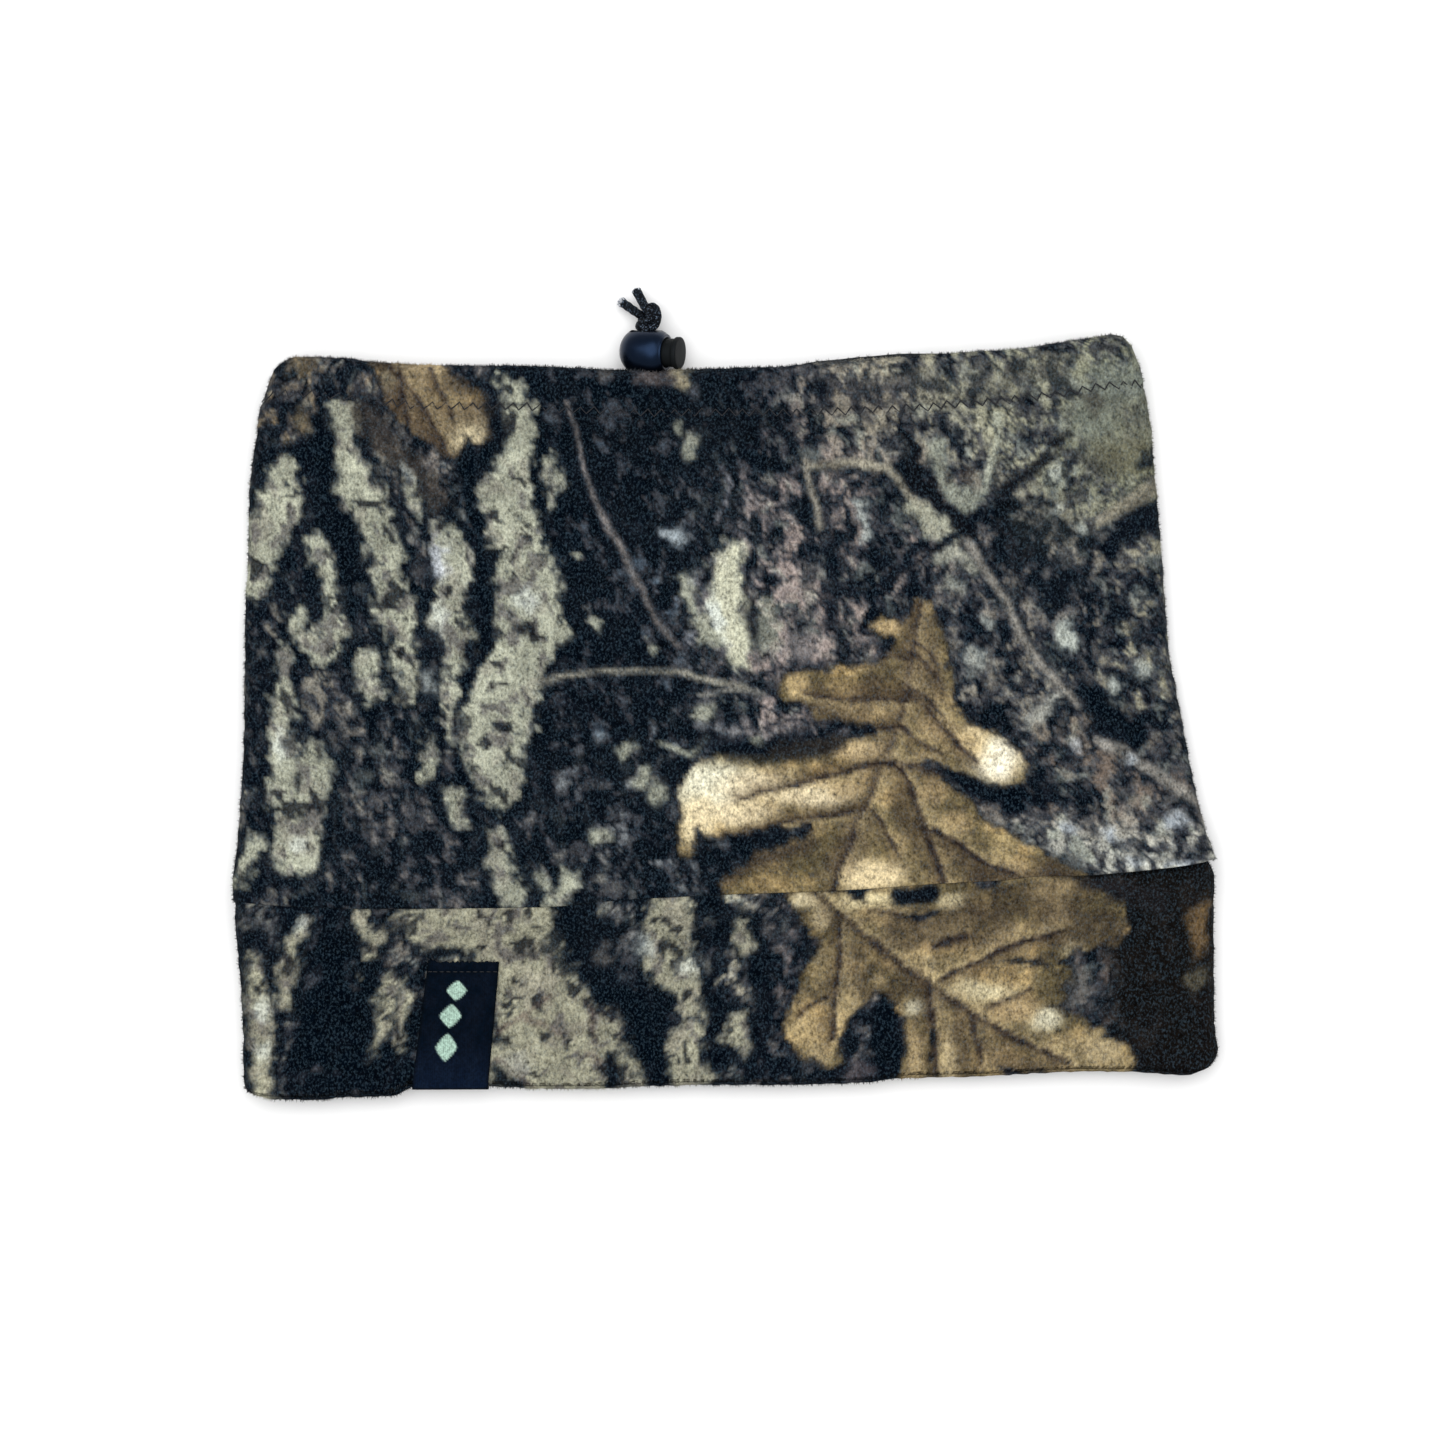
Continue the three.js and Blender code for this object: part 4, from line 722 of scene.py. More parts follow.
# ------------------------------------------------------------------ node materials
def material(name):
    m = bpy.data.materials.new(name)
    m.use_nodes = True
    nt = m.node_tree
    bsdf = next(n for n in nt.nodes if n.type == "BSDF_PRINCIPLED")
    return m, nt, bsdf


def node(nt, kind, **values):
    n = nt.nodes.new(kind)
    for k, v in values.items():
        if k in n.inputs:
            n.inputs[k].default_value = v
        else:
            setattr(n, k, v)
    return n


def ramp(nt, src, lo, hi, out_lo=0.0, out_hi=1.0):
    n = nt.nodes.new("ShaderNodeMapRange")
    n.inputs["From Min"].default_value = lo
    n.inputs["From Max"].default_value = hi
    n.inputs["To Min"].default_value = out_lo
    n.inputs["To Max"].default_value = out_hi
    nt.links.new(src, n.inputs["Value"])
    return n.outputs["Result"]


def mathn(nt, op, a, b=None):
    n = nt.nodes.new("ShaderNodeMath")
    n.operation = op
    for i, v in enumerate((a, b)):
        if v is None:
            continue
        if isinstance(v, (int, float)):
            n.inputs[i].default_value = v
        else:
            nt.links.new(v, n.inputs[i])
    return n.outputs[0]


def mixc(nt, blend, fac, a, b):
    n = nt.nodes.new("ShaderNodeMix")
    n.data_type = "RGBA"
    n.blend_type = blend
    for sock, v in ((n.inputs["Factor"], fac), (n.inputs[6], a), (n.inputs[7], b)):
        if isinstance(v, (int, float)):
            sock.default_value = v
        elif isinstance(v, tuple):
            sock.default_value = v
        else:
            nt.links.new(v, sock)
    return n.outputs[2]


def noise(nt, vec, scale, detail=2.0, rough=0.5):
    n = nt.nodes.new("ShaderNodeTexNoise")
    n.inputs["Scale"].default_value = scale
    n.inputs["Detail"].default_value = detail
    n.inputs["Roughness"].default_value = rough
    nt.links.new(vec, n.inputs["Vector"])
    return n.outputs["Fac"]


def bump(nt, bsdf, height, strength, distance):
    n = nt.nodes.new("ShaderNodeBump")
    n.inputs["Strength"].default_value = strength
    n.inputs["Distance"].default_value = distance
    nt.links.new(height, n.inputs["Height"])
    nt.links.new(n.outputs["Normal"], bsdf.inputs["Normal"])


def srgb(r, g, b):
    f = lambda c: (c / 255 / 12.92) if c / 255 <= 0.04045 else ((c / 255 + 0.055) / 1.055) ** 2.4
    return (f(r), f(g), f(b), 1.0)


LIGHT_GAIN = 0.80


def fleece_material(name):
    m, nt, bsdf = material(name)
    co = nt.nodes.new("ShaderNodeTexCoord").outputs["Object"]
    col = node(nt, "ShaderNodeAttribute", attribute_name="print").outputs["Color"]
    # pile: short fibres brushed mostly along the cloth, in clumps half a millimetre across
    mp = nt.nodes.new("ShaderNodeMapping")
    mp.inputs["Scale"].default_value = (1.0, 0.72, 1.0)
    nt.links.new(co, mp.inputs["Vector"])
    v = mp.outputs["Vector"]
    fine = noise(nt, v, 1500, 3.0, 0.65)
    tuft = noise(nt, v, 620, 2.0, 0.6)
    broad = noise(nt, v, 130, 3.0, 0.6)
    g = mathn(nt, "ADD", ramp(nt, fine, 0.30, 0.70, -0.42, 0.42), ramp(nt, tuft, 0.32, 0.68, -0.24, 0.24))
    g = mathn(nt, "ADD", g, ramp(nt, broad, 0.3, 0.7, -0.08, 0.08))
    gain = mathn(nt, "MAXIMUM", mathn(nt, "ADD", g, LIGHT_GAIN), 0.08)
    comb = nt.nodes.new("ShaderNodeCombineColor")
    for i in range(3):
        nt.links.new(gain, comb.inputs[i])
    c1 = mixc(nt, "MULTIPLY", 1.0, col, comb.outputs[0])
    # loose light fibre ends over the dark print
    fleck = ramp(nt, noise(nt, v, 1750, 2.0, 0.6), 0.48, 0.78, 0.0, 0.098)
    c2 = mixc(nt, "ADD", fleck, c1, srgb(136, 174, 200))
    nt.links.new(c2, bsdf.inputs["Base Color"])
    bsdf.inputs["Roughness"].default_value = 1.0
    bsdf.inputs["Specular IOR Level"].default_value = 0.0
    bsdf.inputs["Sheen Weight"].default_value = 0.015
    bsdf.inputs["Sheen Roughness"].default_value = 0.6
    h = mathn(nt, "ADD", fine, mathn(nt, "MULTIPLY", tuft, 0.9))
    bump(nt, bsdf, h, 0.65, 0.0005)
    return m


def thread_material(name, rgb, light):
    m, nt, bsdf = material(name)
    co = nt.nodes.new("ShaderNodeTexCoord").outputs["Object"]
    w = node(nt, "ShaderNodeTexWave", Scale=1500.0, Distortion=2.0, Detail=1.0)
    w.bands_direction = "DIAGONAL"
    nt.links.new(co, w.inputs["Vector"])
    c = mixc(nt, "MIX", ramp(nt, w.outputs["Fac"], 0.3, 0.9, 0.0, 0.75), srgb(*rgb), srgb(*light))
    nt.links.new(c, bsdf.inputs["Base Color"])
    bsdf.inputs["Roughness"].default_value = 0.72
    bump(nt, bsdf, w.outputs["Fac"], 0.4, 0.0001)
    return m


def cord_material(name):
    m, nt, bsdf = material(name)
    co = nt.nodes.new("ShaderNodeTexCoord").outputs["Object"]
    n1 = noise(nt, co, 2300, 2.0, 0.6)
    n2 = noise(nt, co, 700, 2.0, 0.5)
    c = mixc(nt, "MIX", ramp(nt, n1, 0.57, 0.67, 0.0, 0.9), srgb(5, 7, 12), srgb(104, 120, 140))
    c = mixc(nt, "MIX", ramp(nt, n2, 0.45, 0.7, 0.0, 0.7), c, srgb(8, 9, 14))
    nt.links.new(c, bsdf.inputs["Base Color"])
    bsdf.inputs["Roughness"].default_value = 0.62
    bsdf.inputs["Specular IOR Level"].default_value = 0.06
    bump(nt, bsdf, n1, 0.5, 0.0002)
    return m


def plastic_material(name, rgb, rough, shine, tint):
    m, nt, bsdf = material(name)
    co = nt.nodes.new("ShaderNodeTexCoord").outputs["Object"]
    n1 = noise(nt, co, 2600, 2.0, 0.55)
    n2 = noise(nt, co, 260, 3.0, 0.6)
    c = mixc(nt, "MIX", ramp(nt, n2, 0.35, 0.7, 0.0, 0.5), srgb(*rgb), srgb(*[v + 5 for v in rgb]))
    nt.links.new(c, bsdf.inputs["Base Color"])
    nt.links.new(ramp(nt, n2, 0.3, 0.7, rough - 0.04, rough + 0.07), bsdf.inputs["Roughness"])
    bsdf.inputs["Specular IOR Level"].default_value = shine
    bsdf.inputs["Specular Tint"].default_value = tint
    bump(nt, bsdf, n1, 0.14, 0.00006)
    return m


def label_material(name):
    m, nt, bsdf = material(name)
    co = nt.nodes.new("ShaderNodeTexCoord").outputs["Object"]
    col = node(nt, "ShaderNodeAttribute", attribute_name="print").outputs["Color"]
    w1 = node(nt, "ShaderNodeTexWave", Scale=1050.0, Distortion=0.6, Detail=1.0)
    w1.bands_direction = "Y"
    w2 = node(nt, "ShaderNodeTexWave", Scale=620.0, Distortion=0.6, Detail=1.0)
    w2.bands_direction = "X"
    for w in (w1, w2):
        nt.links.new(co, w.inputs["Vector"])
    h = mathn(nt, "MULTIPLY", w1.outputs["Fac"], w2.outputs["Fac"])
    n1 = noise(nt, co, 1500, 2.0, 0.6)
    g = mathn(nt, "ADD", ramp(nt, h, 0.0, 1.0, 0.70, 1.22), ramp(nt, n1, 0.35, 0.7, -0.26, 0.34))
    comb = nt.nodes.new("ShaderNodeCombineColor")
    for i in range(3):
        nt.links.new(g, comb.inputs[i])
    nt.links.new(mixc(nt, "MULTIPLY", 1.0, col, comb.outputs[0]), bsdf.inputs["Base Color"])
    bsdf.inputs["Roughness"].default_value = 0.8
    bsdf.inputs["Specular IOR Level"].default_value = 0.04
    bump(nt, bsdf, h, 0.5, 0.00012)
    return m


def steel_material(name):
    m, nt, bsdf = material(name)
    co = nt.nodes.new("ShaderNodeTexCoord").outputs["Object"]
    n1 = noise(nt, co, 1800, 3.0, 0.6)
    nt.links.new(mixc(nt, "MIX", n1, srgb(176, 178, 180), srgb(206, 208, 210)), bsdf.inputs["Base Color"])
    bsdf.inputs["Metallic"].default_value = 1.0
    nt.links.new(ramp(nt, n1, 0.3, 0.7, 0.22, 0.36), bsdf.inputs["Roughness"])
    return m


FLEECE_MAT = fleece_material("fleece")
THREAD_MAT = thread_material("thread_dark", (8, 10, 16), (26, 29, 38))
CORD_MAT = cord_material("cord_black")
LOCK_MAT = plastic_material("lock_black", (1, 3, 8), 0.31, 0.42, (0.26, 0.48, 1.0, 1))
CAP_MAT = plastic_material("button_black", (10, 12, 12), 0.58, 0.14, (0.75, 0.85, 1.0, 1))
LABEL_MAT = label_material("label_weave")
STEEL_MAT = steel_material("spring_wire")


def finish_piece(o, mat, body, nodes=()):
    o.data.materials.clear()
    o.data.materials.append(mat)
    if body:
        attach(o, body)
    if nodes:
        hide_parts(*nodes)
    return o


# ------------------------------------------------------------------ camera first
def px(u, v, z=0.0):
    return np.array([(u - 725) * 0.275, (1098 - v) * 0.275, z])


look = (px(722.5, 722.5, 10.0) + SHIFT) * MM
cam_data = bpy.data.cameras.new("camera")
cam_data.lens = 85
cam_data.sensor_width = 36
cam = bpy.data.objects.new("camera", cam_data)
bpy.context.scene.collection.objects.link(cam)
cam.location = (look[0], look[1], look[2] + 0.9300)
cam.rotation_euler = (0, 0, 0)
cam_data.clip_start = 0.01
bpy.context.scene.camera = cam

# ------------------------------------------------------------------ where the lock lies
Q = Matrix.Rotation(math.radians(TURN), 3, "Z") @ Matrix.Rotation(math.radians(-TILT), 3, "Y")
QM = np.array([[Q[i][j] for j in range(3)] for i in range(3)])
LC = np.array(LOCK)


def lock_to_design(P):
    return np.asarray(P, float) @ QM.T + LC


def dent(x, y, z, top):
    """The casing's edge gives way where the lock is drawn up against it."""
    q = (x - LC[0]) / QM[0, 0]
    r = np.interp(q, [p[0] for p in SHELL], [p[1] for p in SHELL], left=0.0, right=0.0) + 0.12
    zc = LC[2] + QM[2, 0] * q
    dz = (z - zc) * 0.94
    reach = np.sqrt(np.maximum(r * r - dz * dz, 0.0))
    y_lock = LC[1] + QM[1, 0] * q - reach
    push = np.where(reach > 0.05, np.maximum(top + 0.05 - y_lock, 0.0), 0.0)
    return y - push * np.exp(-np.maximum(top - y, 0) / 9.0)


# ------------------------------------------------------------------ body tube
BODY_RING = make_ring(286, 78, 13)
body_rows = []
N_UP = 150
body_rows += [(0.0, 0.0, 0.40, "o"), (0.0, 0.10, 0.12, "o"), (0.0, 0.35, 0.0, "o")]
for i in range(1, N_UP):
    a = i / N_UP
    if (1 - a) * 146 > 3.2:
        body_rows.append((a, 0.0, 0.0, "o"))
h_in = CASING_IN
r_out = h_in / 2
for k in range(0, 13):
    w = math.pi * k / 12
    body_rows.append((1.0, -r_out + r_out * math.sin(w) * 0.98, r_out - r_out * math.cos(w), "o" if k < 7 else "i"))
for s in (5.0, 7.0, 9.0):
    body_rows.append((1.0, -s, h_in, "i"))
body_rows += [(1.0, -10.6, h_in - 0.6, "i"), (1.0, -12.2, FLEECE * 2 + PLY + 0.1, "i"), (1.0, -14.5, FLEECE * 2 + PLY, "i"), (1.0, -16.4, FLEECE * 2 + PLY, "i"),
              (1.0, -16.7, FLEECE * 1.5 + PLY, "i"), (1.0, -16.4, FLEECE + PLY, "i"), (1.0, -12.4, FLEECE + PLY, "i"), (1.0, -10.4, h_in - FLEECE - 0.4, "i"),
              (1.0, -8.0, h_in - FLEECE, "i"), (1.0, -4.0, h_in - FLEECE, "i"), (1.0, -2.4, h_in / 2 + 0.7, "i"), (1.0, -1.9, h_in / 2, "i"), (1.0, -2.4, h_in / 2 - 0.7, "i"),
              (1.0, -4.0, FLEECE, "i"), (1.0, -8.0, FLEECE, "i"), (1.0, -11.0, FLEECE, "i"), (1.0, -14.0, FLEECE, "i")]
for i in range(27, 1, -1):
    body_rows.append((i / 31, 0.0, FLEECE, "i"))
body_rows += [(0.0, 6.0, FLEECE, "e"), (0.0, 3.5, FLEECE, "e"), (0.0, 1.6, FLEECE, "e"), (0.0, 0.4, FLEECE, "e"), (0.0, 0.04, FLEECE * 0.8, "e")]


def relief(x, y, z, n_amp, seed):
    return (fbm(x * 1.0 + 900, y * 1.0 + 900, 1.7, 1.7, 2, seed) - 0.5) * n_amp


def build_body():
    sx, nx, nz = BODY_RING
    a = np.array([r[0] for r in body_rows])[:, None]
    b = np.array([r[1] for r in body_rows])[:, None]
    d = np.array([r[2] for r in body_rows])[:, None] + 0 * sx[None, :]
    kind = np.array([r[3] for r in body_rows])
    # first pass gives across-fraction, distance from the top, and from the seam
    x, y, z, f, s, t = body_at(sx[None], nx[None], nz[None], a, b, d)
    s2 = np.broadcast_to(s, x.shape)
    outer = (kind == "o")[:, None]
    # the stitch line pulls the pile down
    dip = np.exp(-((s2 - stitch_s(f)) / 0.85) ** 2)
    d = d + outer * dip * 0.55
    # the lap edge is turned thin on the left and lifts on the right
    e = (kind == "e")[:, None]
    thin = np.clip(step_f(f) + 0.15, 0.5, FLEECE)
    ramp_in = smooth(np.clip(b / 6.0, 0, 1))
    d = np.where(e, thin + (FLEECE - thin) * ramp_in, d)
    # seam at centre back: a shallow groove outside, a ridge inside
    at_back = (nz[None] < -0.5)
    gauss = np.exp(-((x - EXIT_X) / 1.1) ** 2) * at_back
    d = np.where(outer, d + 0.6 * gauss, d + 0.0)
    inner_wall = (kind == "i")[:, None] & (a < 1)
    d = np.where(inner_wall, d + 0.8 * gauss, d)
    x, y, z, f, s, t = body_at(sx[None], nx[None], nz[None], a, b, d)
    # pile relief along the surface normal, outside only
    n = relief(x, y, z, 0.34, 11)
    x = x + outer * nx[None] * n
    z = z + outer * nz[None] * n
    fold = outer & (s2 < 4)
    y = y + fold * n * 0.8
    top = top_f(f) * (nz[None] + 1) / 2 + top_b(f) * (1 - nz[None]) / 2
    y = dent(x, y, z, top)
    # right end of the lap stands up a little on the front
    lift = 1.2 * smooth((f - 0.82) / 0.1) * smooth(1 - b / 9) * smooth(1 - a * 12) * ((nz[None] + 1) / 2) ** 2
    z = z + lift
    z = np.maximum(z, 0.0)
    P = np.stack([x, y, z], -1).reshape(-1, 3)
    o = mesh_object("fleece_body", P, grid_faces(*x.shape))
    v = np.clip(a + b / 146, 0, 1)
    left, right = body_l(v) + 0 * x, body_r(v) + 0 * x
    U, V = wrapped(x, y, sx[None] + 0 * x, nx[None] + 0 * x, nz[None] + 0 * x, left, right, 0)
    rgb = paint_body(U.ravel(), V.ravel())
    peek = (smooth((0.6 - nz[None]) / 0.9) * (s2 < 6) * smooth((f - 0.58) / 0.05) * smooth((0.80 - f) / 0.05)).ravel()[:, None]
    rgb = rgb * (1 - 0.8 * peek) + np.array(NAVY, float) * 0.8 * peek
    inside = np.broadcast_to(((kind != "o")[:, None]), x.shape).ravel()
    grey = rgb.mean(1, keepdims=True) * 0.35 + 42
    rgb[inside] = rgb[inside] * 0.45 + (grey * np.array([1.0, 0.98, 0.94]))[inside] * 0.55
    set_colour(o, rgb)
    return o, x, y, z


body, bx, by, bz = build_body()
finish_piece(body, FLEECE_MAT, "garment", ["body_tube"])

# ------------------------------------------------------------------ hem band
BAND_RING = make_ring(256, 100, 13)
DEPTH_IN = 2 * FLEECE + PLY
under = FLEECE + PLY
band_rows = []
for b_ in (8.0, 6.5, 5.0, 3.5, 2.2, 1.2, 0.5):
    band_rows.append((1.0, b_, 0.0, "h"))
for b_, k in ((-0.1, 1.0), (-0.8, 0.8), (-1.6, 0.5), (-2.5, 0.25), (-3.5, 0.08), (-4.6, 0.0)):
    band_rows.append((1.0, b_, k, "s"))
for i in range(50, 0, -1):
    a = i / 56
    band_rows.append((a, 0.0, 0.0, "o"))
rr = DEPTH_IN / 2
for k in range(0, 11):
    w = math.pi * k / 10
    band_rows.append((0.0, rr - rr * math.sin(w), rr - rr * math.cos(w), "o" if k < 7 else "i"))
for i in range(3, 27, 2):
    band_rows.append((i / 29, 0.0, DEPTH_IN, "i"))
band_rows += [(1.0, -2.6, DEPTH_IN, "i"), (1.0, -0.6, under + DEPTH_IN - 0.2, "i"), (1.0, 2.0, under + DEPTH_IN, "i"), (1.0, 8.0, under + DEPTH_IN, "i"),
              (1.0, 8.3, under + DEPTH_IN - FLEECE / 2, "i"), (1.0, 8.0, under + FLEECE + PLY, "i"), (1.0, 2.0, under + FLEECE + PLY, "i"), (1.0, -0.6, under + FLEECE + PLY - 0.2, "i"),
              (1.0, -2.6, FLEECE + PLY, "i")]
for i in range(26, 2, -3):
    band_rows.append((i / 29, 0.0, FLEECE + PLY, "i"))
band_rows += [(0.0, rr + 0.2, FLEECE + PLY, "i"), (0.0, rr - 0.05, rr, "i"), (0.0, rr + 0.2, FLEECE, "i")]
for i in range(3, 27, 3):
    band_rows.append((i / 29, 0.0, FLEECE, "i"))
band_rows += [(1.0, -2.6, FLEECE, "i"), (1.0, -0.6, under + FLEECE - 0.2, "i"), (1.0, 2.0, under + FLEECE, "i"), (1.0, 8.0, under + FLEECE, "i"), (1.0, 8.3, under + FLEECE / 2, "i")]


def pile_fringe(pieces, count, seed):
    """Loose fibres of the pile, standing out where the cloth turns away at its folds and edges."""
    rs = np.random.RandomState(seed)
    pts, cols = [], []
    for o, share in pieces:
        me = o.data
        n = len(me.vertices)
        co = np.empty(n * 3, np.float32); me.vertices.foreach_get("co", co); co = co.reshape(-1, 3).astype(float)
        no = np.empty(n * 3, np.float32); me.vertex_normals.foreach_get("vector", no); no = no.reshape(-1, 3).astype(float)
        rgb = np.empty(n * 4, np.float32); me.attributes["print"].data.foreach_get("color", rgb); rgb = rgb.reshape(-1, 4)[:, :3].astype(float)
        mm = co / MM - SHIFT
        # only where the cloth faces outward from the garment's outline
        out = no[:, 0] * np.sign(mm[:, 0]) * (np.abs(mm[:, 0]) > 112) + np.abs(no[:, 1]) * ((mm[:, 1] > 180) | (mm[:, 1] < 6))
        good = np.where((np.abs(no[:, 2]) < 0.62) & (out > 0.5) & (mm[:, 2] > 0.6))[0]
        pick = rs.choice(good, int(count * share))
        k = len(pick)
        t1 = rs.normal(size=(k, 3)); t1 -= no[pick] * (t1 * no[pick]).sum(1)[:, None]
        t1 /= np.linalg.norm(t1, axis=1)[:, None]
        t2 = np.cross(no[pick], t1)
        base = mm[pick] + t1 * rs.uniform(-0.5, 0.5, (k, 1)) + t2 * rs.uniform(-0.5, 0.5, (k, 1)) - no[pick] * 0.22
        d = no[pick] + t1 * rs.uniform(0.1, 0.9, (k, 1))
        d /= np.linalg.norm(d, axis=1)[:, None]
        ln = rs.uniform(0.55, 1.15, (k, 1))
        w = rs.uniform(0.09, 0.15, (k, 1))
        ring = []
        for a in (0.0, 2.0944, 4.1888):
            ring.append(base + (t1 * math.cos(a) + t2 * math.sin(a)) * w)
        tip = base + d * ln
        tip[:, 2] = np.maximum(tip[:, 2], 0.15)
        quad = np.stack(ring + [tip], 1)
        pts.append(quad.reshape(-1, 3))
        tone = np.clip(rgb[pick] * rs.uniform(1.0, 1.5, (k, 1)) + rs.uniform(0.0, 0.05, (k, 1)), 0, 1)
        cols.append(np.repeat(tone, 4, axis=0))
    V = np.concatenate(pts); C = np.concatenate(cols)
    i = np.arange(len(V) // 4)[:, None] * 4
    F = np.concatenate([i + np.array([[0, 2, 1]]), i + np.array([[0, 1, 3]]), i + np.array([[1, 2, 3]]), i + np.array([[2, 0, 3]])])
    o = mesh_object("fleece_pile_fringe", V, F)
    bm = bmesh.new(); bm.from_mesh(o.data); bmesh.ops.recalc_face_normals(bm, faces=bm.faces); bm.to_mesh(o.data); bm.free()
    attr = o.data.color_attributes.new("print", "FLOAT_COLOR", "POINT")
    attr.data.foreach_set("color", np.concatenate([C, np.ones((len(C), 1))], 1).astype(np.float32).ravel())
    return o


def label_frame(x, y):
    """Label coordinates in mm: across from its left edge, and up from its fold."""
    h = (y - 3.0) / (36.9 - 3.0)
    left = -85.5 + (-81.6 + 85.5) * h
    right = -65.0 + (-62.6 + 65.0) * h
    return (x - left) / (right - left), h


def build_band():
    sx, nx, nz = BAND_RING
    a = np.array([r[0] for r in band_rows])[:, None]
    b = np.array([r[1] for r in band_rows])[:, None]
    d = np.array([r[2] for r in band_rows])[:, None] + 0 * sx[None, :]
    kind = np.array([r[3] for r in band_rows])
    x, y, z, f, below = band_at(sx[None], nx[None], nz[None], a, b, d)
    st = np.clip(step_f(f), 0.3, under)
    # under the body's turned edge the band follows the underside of that edge
    k = np.array([r[2] for r in band_rows])[:, None]
    at_seam = (kind == "s")[:, None]
    hidden = (kind == "h")[:, None]
    d = np.where(at_seam, (st + 0.12) * k, d)
    edge_in = np.clip(step_f(f) + 0.15, 0.5, FLEECE)
    d = np.where(hidden, edge_in + (FLEECE - edge_in) * smooth(b / 6.0) + PLY, d)
    at_back = (nz[None] < -0.5)
    outer = ((kind == "o") | (kind == "s"))[:, None]
    gauss = np.exp(-((x - EXIT_X) / 1.1) ** 2) * at_back
    d = np.where(outer, d + 0.5 * gauss, d)
    x, y, z, f, below = band_at(sx[None], nx[None], nz[None], a, b, d)
    n = relief(x, y, z, 0.34, 12)
    lu, lv = label_frame(x, y)
    covered = (lu > -0.04) & (lu < 1.04) & (lv < 1.02) & (nz[None] > 0.5)
    n = np.where(covered, 0, n)
    x = x + outer * nx[None] * n
    z = z + outer * nz[None] * n
    fold = (kind == "o")[:, None] & (a == 0)
    y = y - fold * n * 0.8
    # the stitched label presses the pile down and its edges sink in
    press = smooth((0.62 - np.maximum(np.abs(lu - 0.5), 0)) / 0.10) * smooth((1.06 - lv) / 0.06) * (nz[None] > 0.9)
    z = z - outer * press * 0.35
    z = np.maximum(z, 0.0)
    P = np.stack([x, y, z], -1).reshape(-1, 3)
    o = mesh_object("fleece_band", P, grid_faces(*x.shape))
    t = np.clip(a + b / 54, 0, 1)
    left, right = band_l(t) + 0 * x, band_r(t) + 0 * x
    U, V = wrapped(x, y, sx[None] + 0 * x, nx[None] + 0 * x, nz[None] + 0 * x, left, right, 0)
    rgb = paint_band(U.ravel(), V.ravel())
    inside = np.broadcast_to(((kind == "i"))[:, None], x.shape).ravel()
    rgb[inside] = rgb[inside] * 0.6 + 22
    # shade where the band dives under the body
    dark = np.broadcast_to(hidden, x.shape).ravel()
    rgb[dark] *= 0.6
    # painted shadow: the band is darkened just below the body's edge on the right, where that edge stands up over it
    rim = (np.broadcast_to(at_seam * smooth((k - 0.3) / 0.7), x.shape) * smooth((f - 0.82) / 0.06)).ravel()
    rgb *= (1 - 0.45 * rim)[:, None]
    set_colour(o, rgb)
    return o, x, y, z, kind


band, hx, hy, hz, band_kind = build_band()
finish_piece(band, FLEECE_MAT, "garment", ["hem_band"])
fringe = pile_fringe([(body, 0.72), (band, 0.28)], 14000, 61)
finish_piece(fringe, FLEECE_MAT, "garment")

# height of the band's upper surface, for what lies on it
_front_cols = BAND_RING[2] > 0.9
_rows_o = np.array([k in ("o", "s") for k in band_kind])
_bx, _by, _bz = hx[_rows_o][:, _front_cols], hy[_rows_o][:, _front_cols], hz[_rows_o][:, _front_cols]


def band_top(x, y):
    """Nearest sampled height of the band's front, smoothed over four neighbours."""
    x, y = np.atleast_1d(x).astype(float), np.atleast_1d(y).astype(float)
    out = np.empty(len(x))
    fx, fy, fz = _bx.ravel(), _by.ravel(), _bz.ravel()
    sel = (fx > -95) & (fx < -52)
    fx, fy, fz = fx[sel], fy[sel], fz[sel]
    for i in range(len(x)):
        d2 = (fx - x[i]) ** 2 + (fy - y[i]) ** 2
        k = np.argpartition(d2, 6)[:6]
        w = 1 / (d2[k] + 0.3)
        out[i] = (fz[k] * w).sum() / w.sum()
    return out


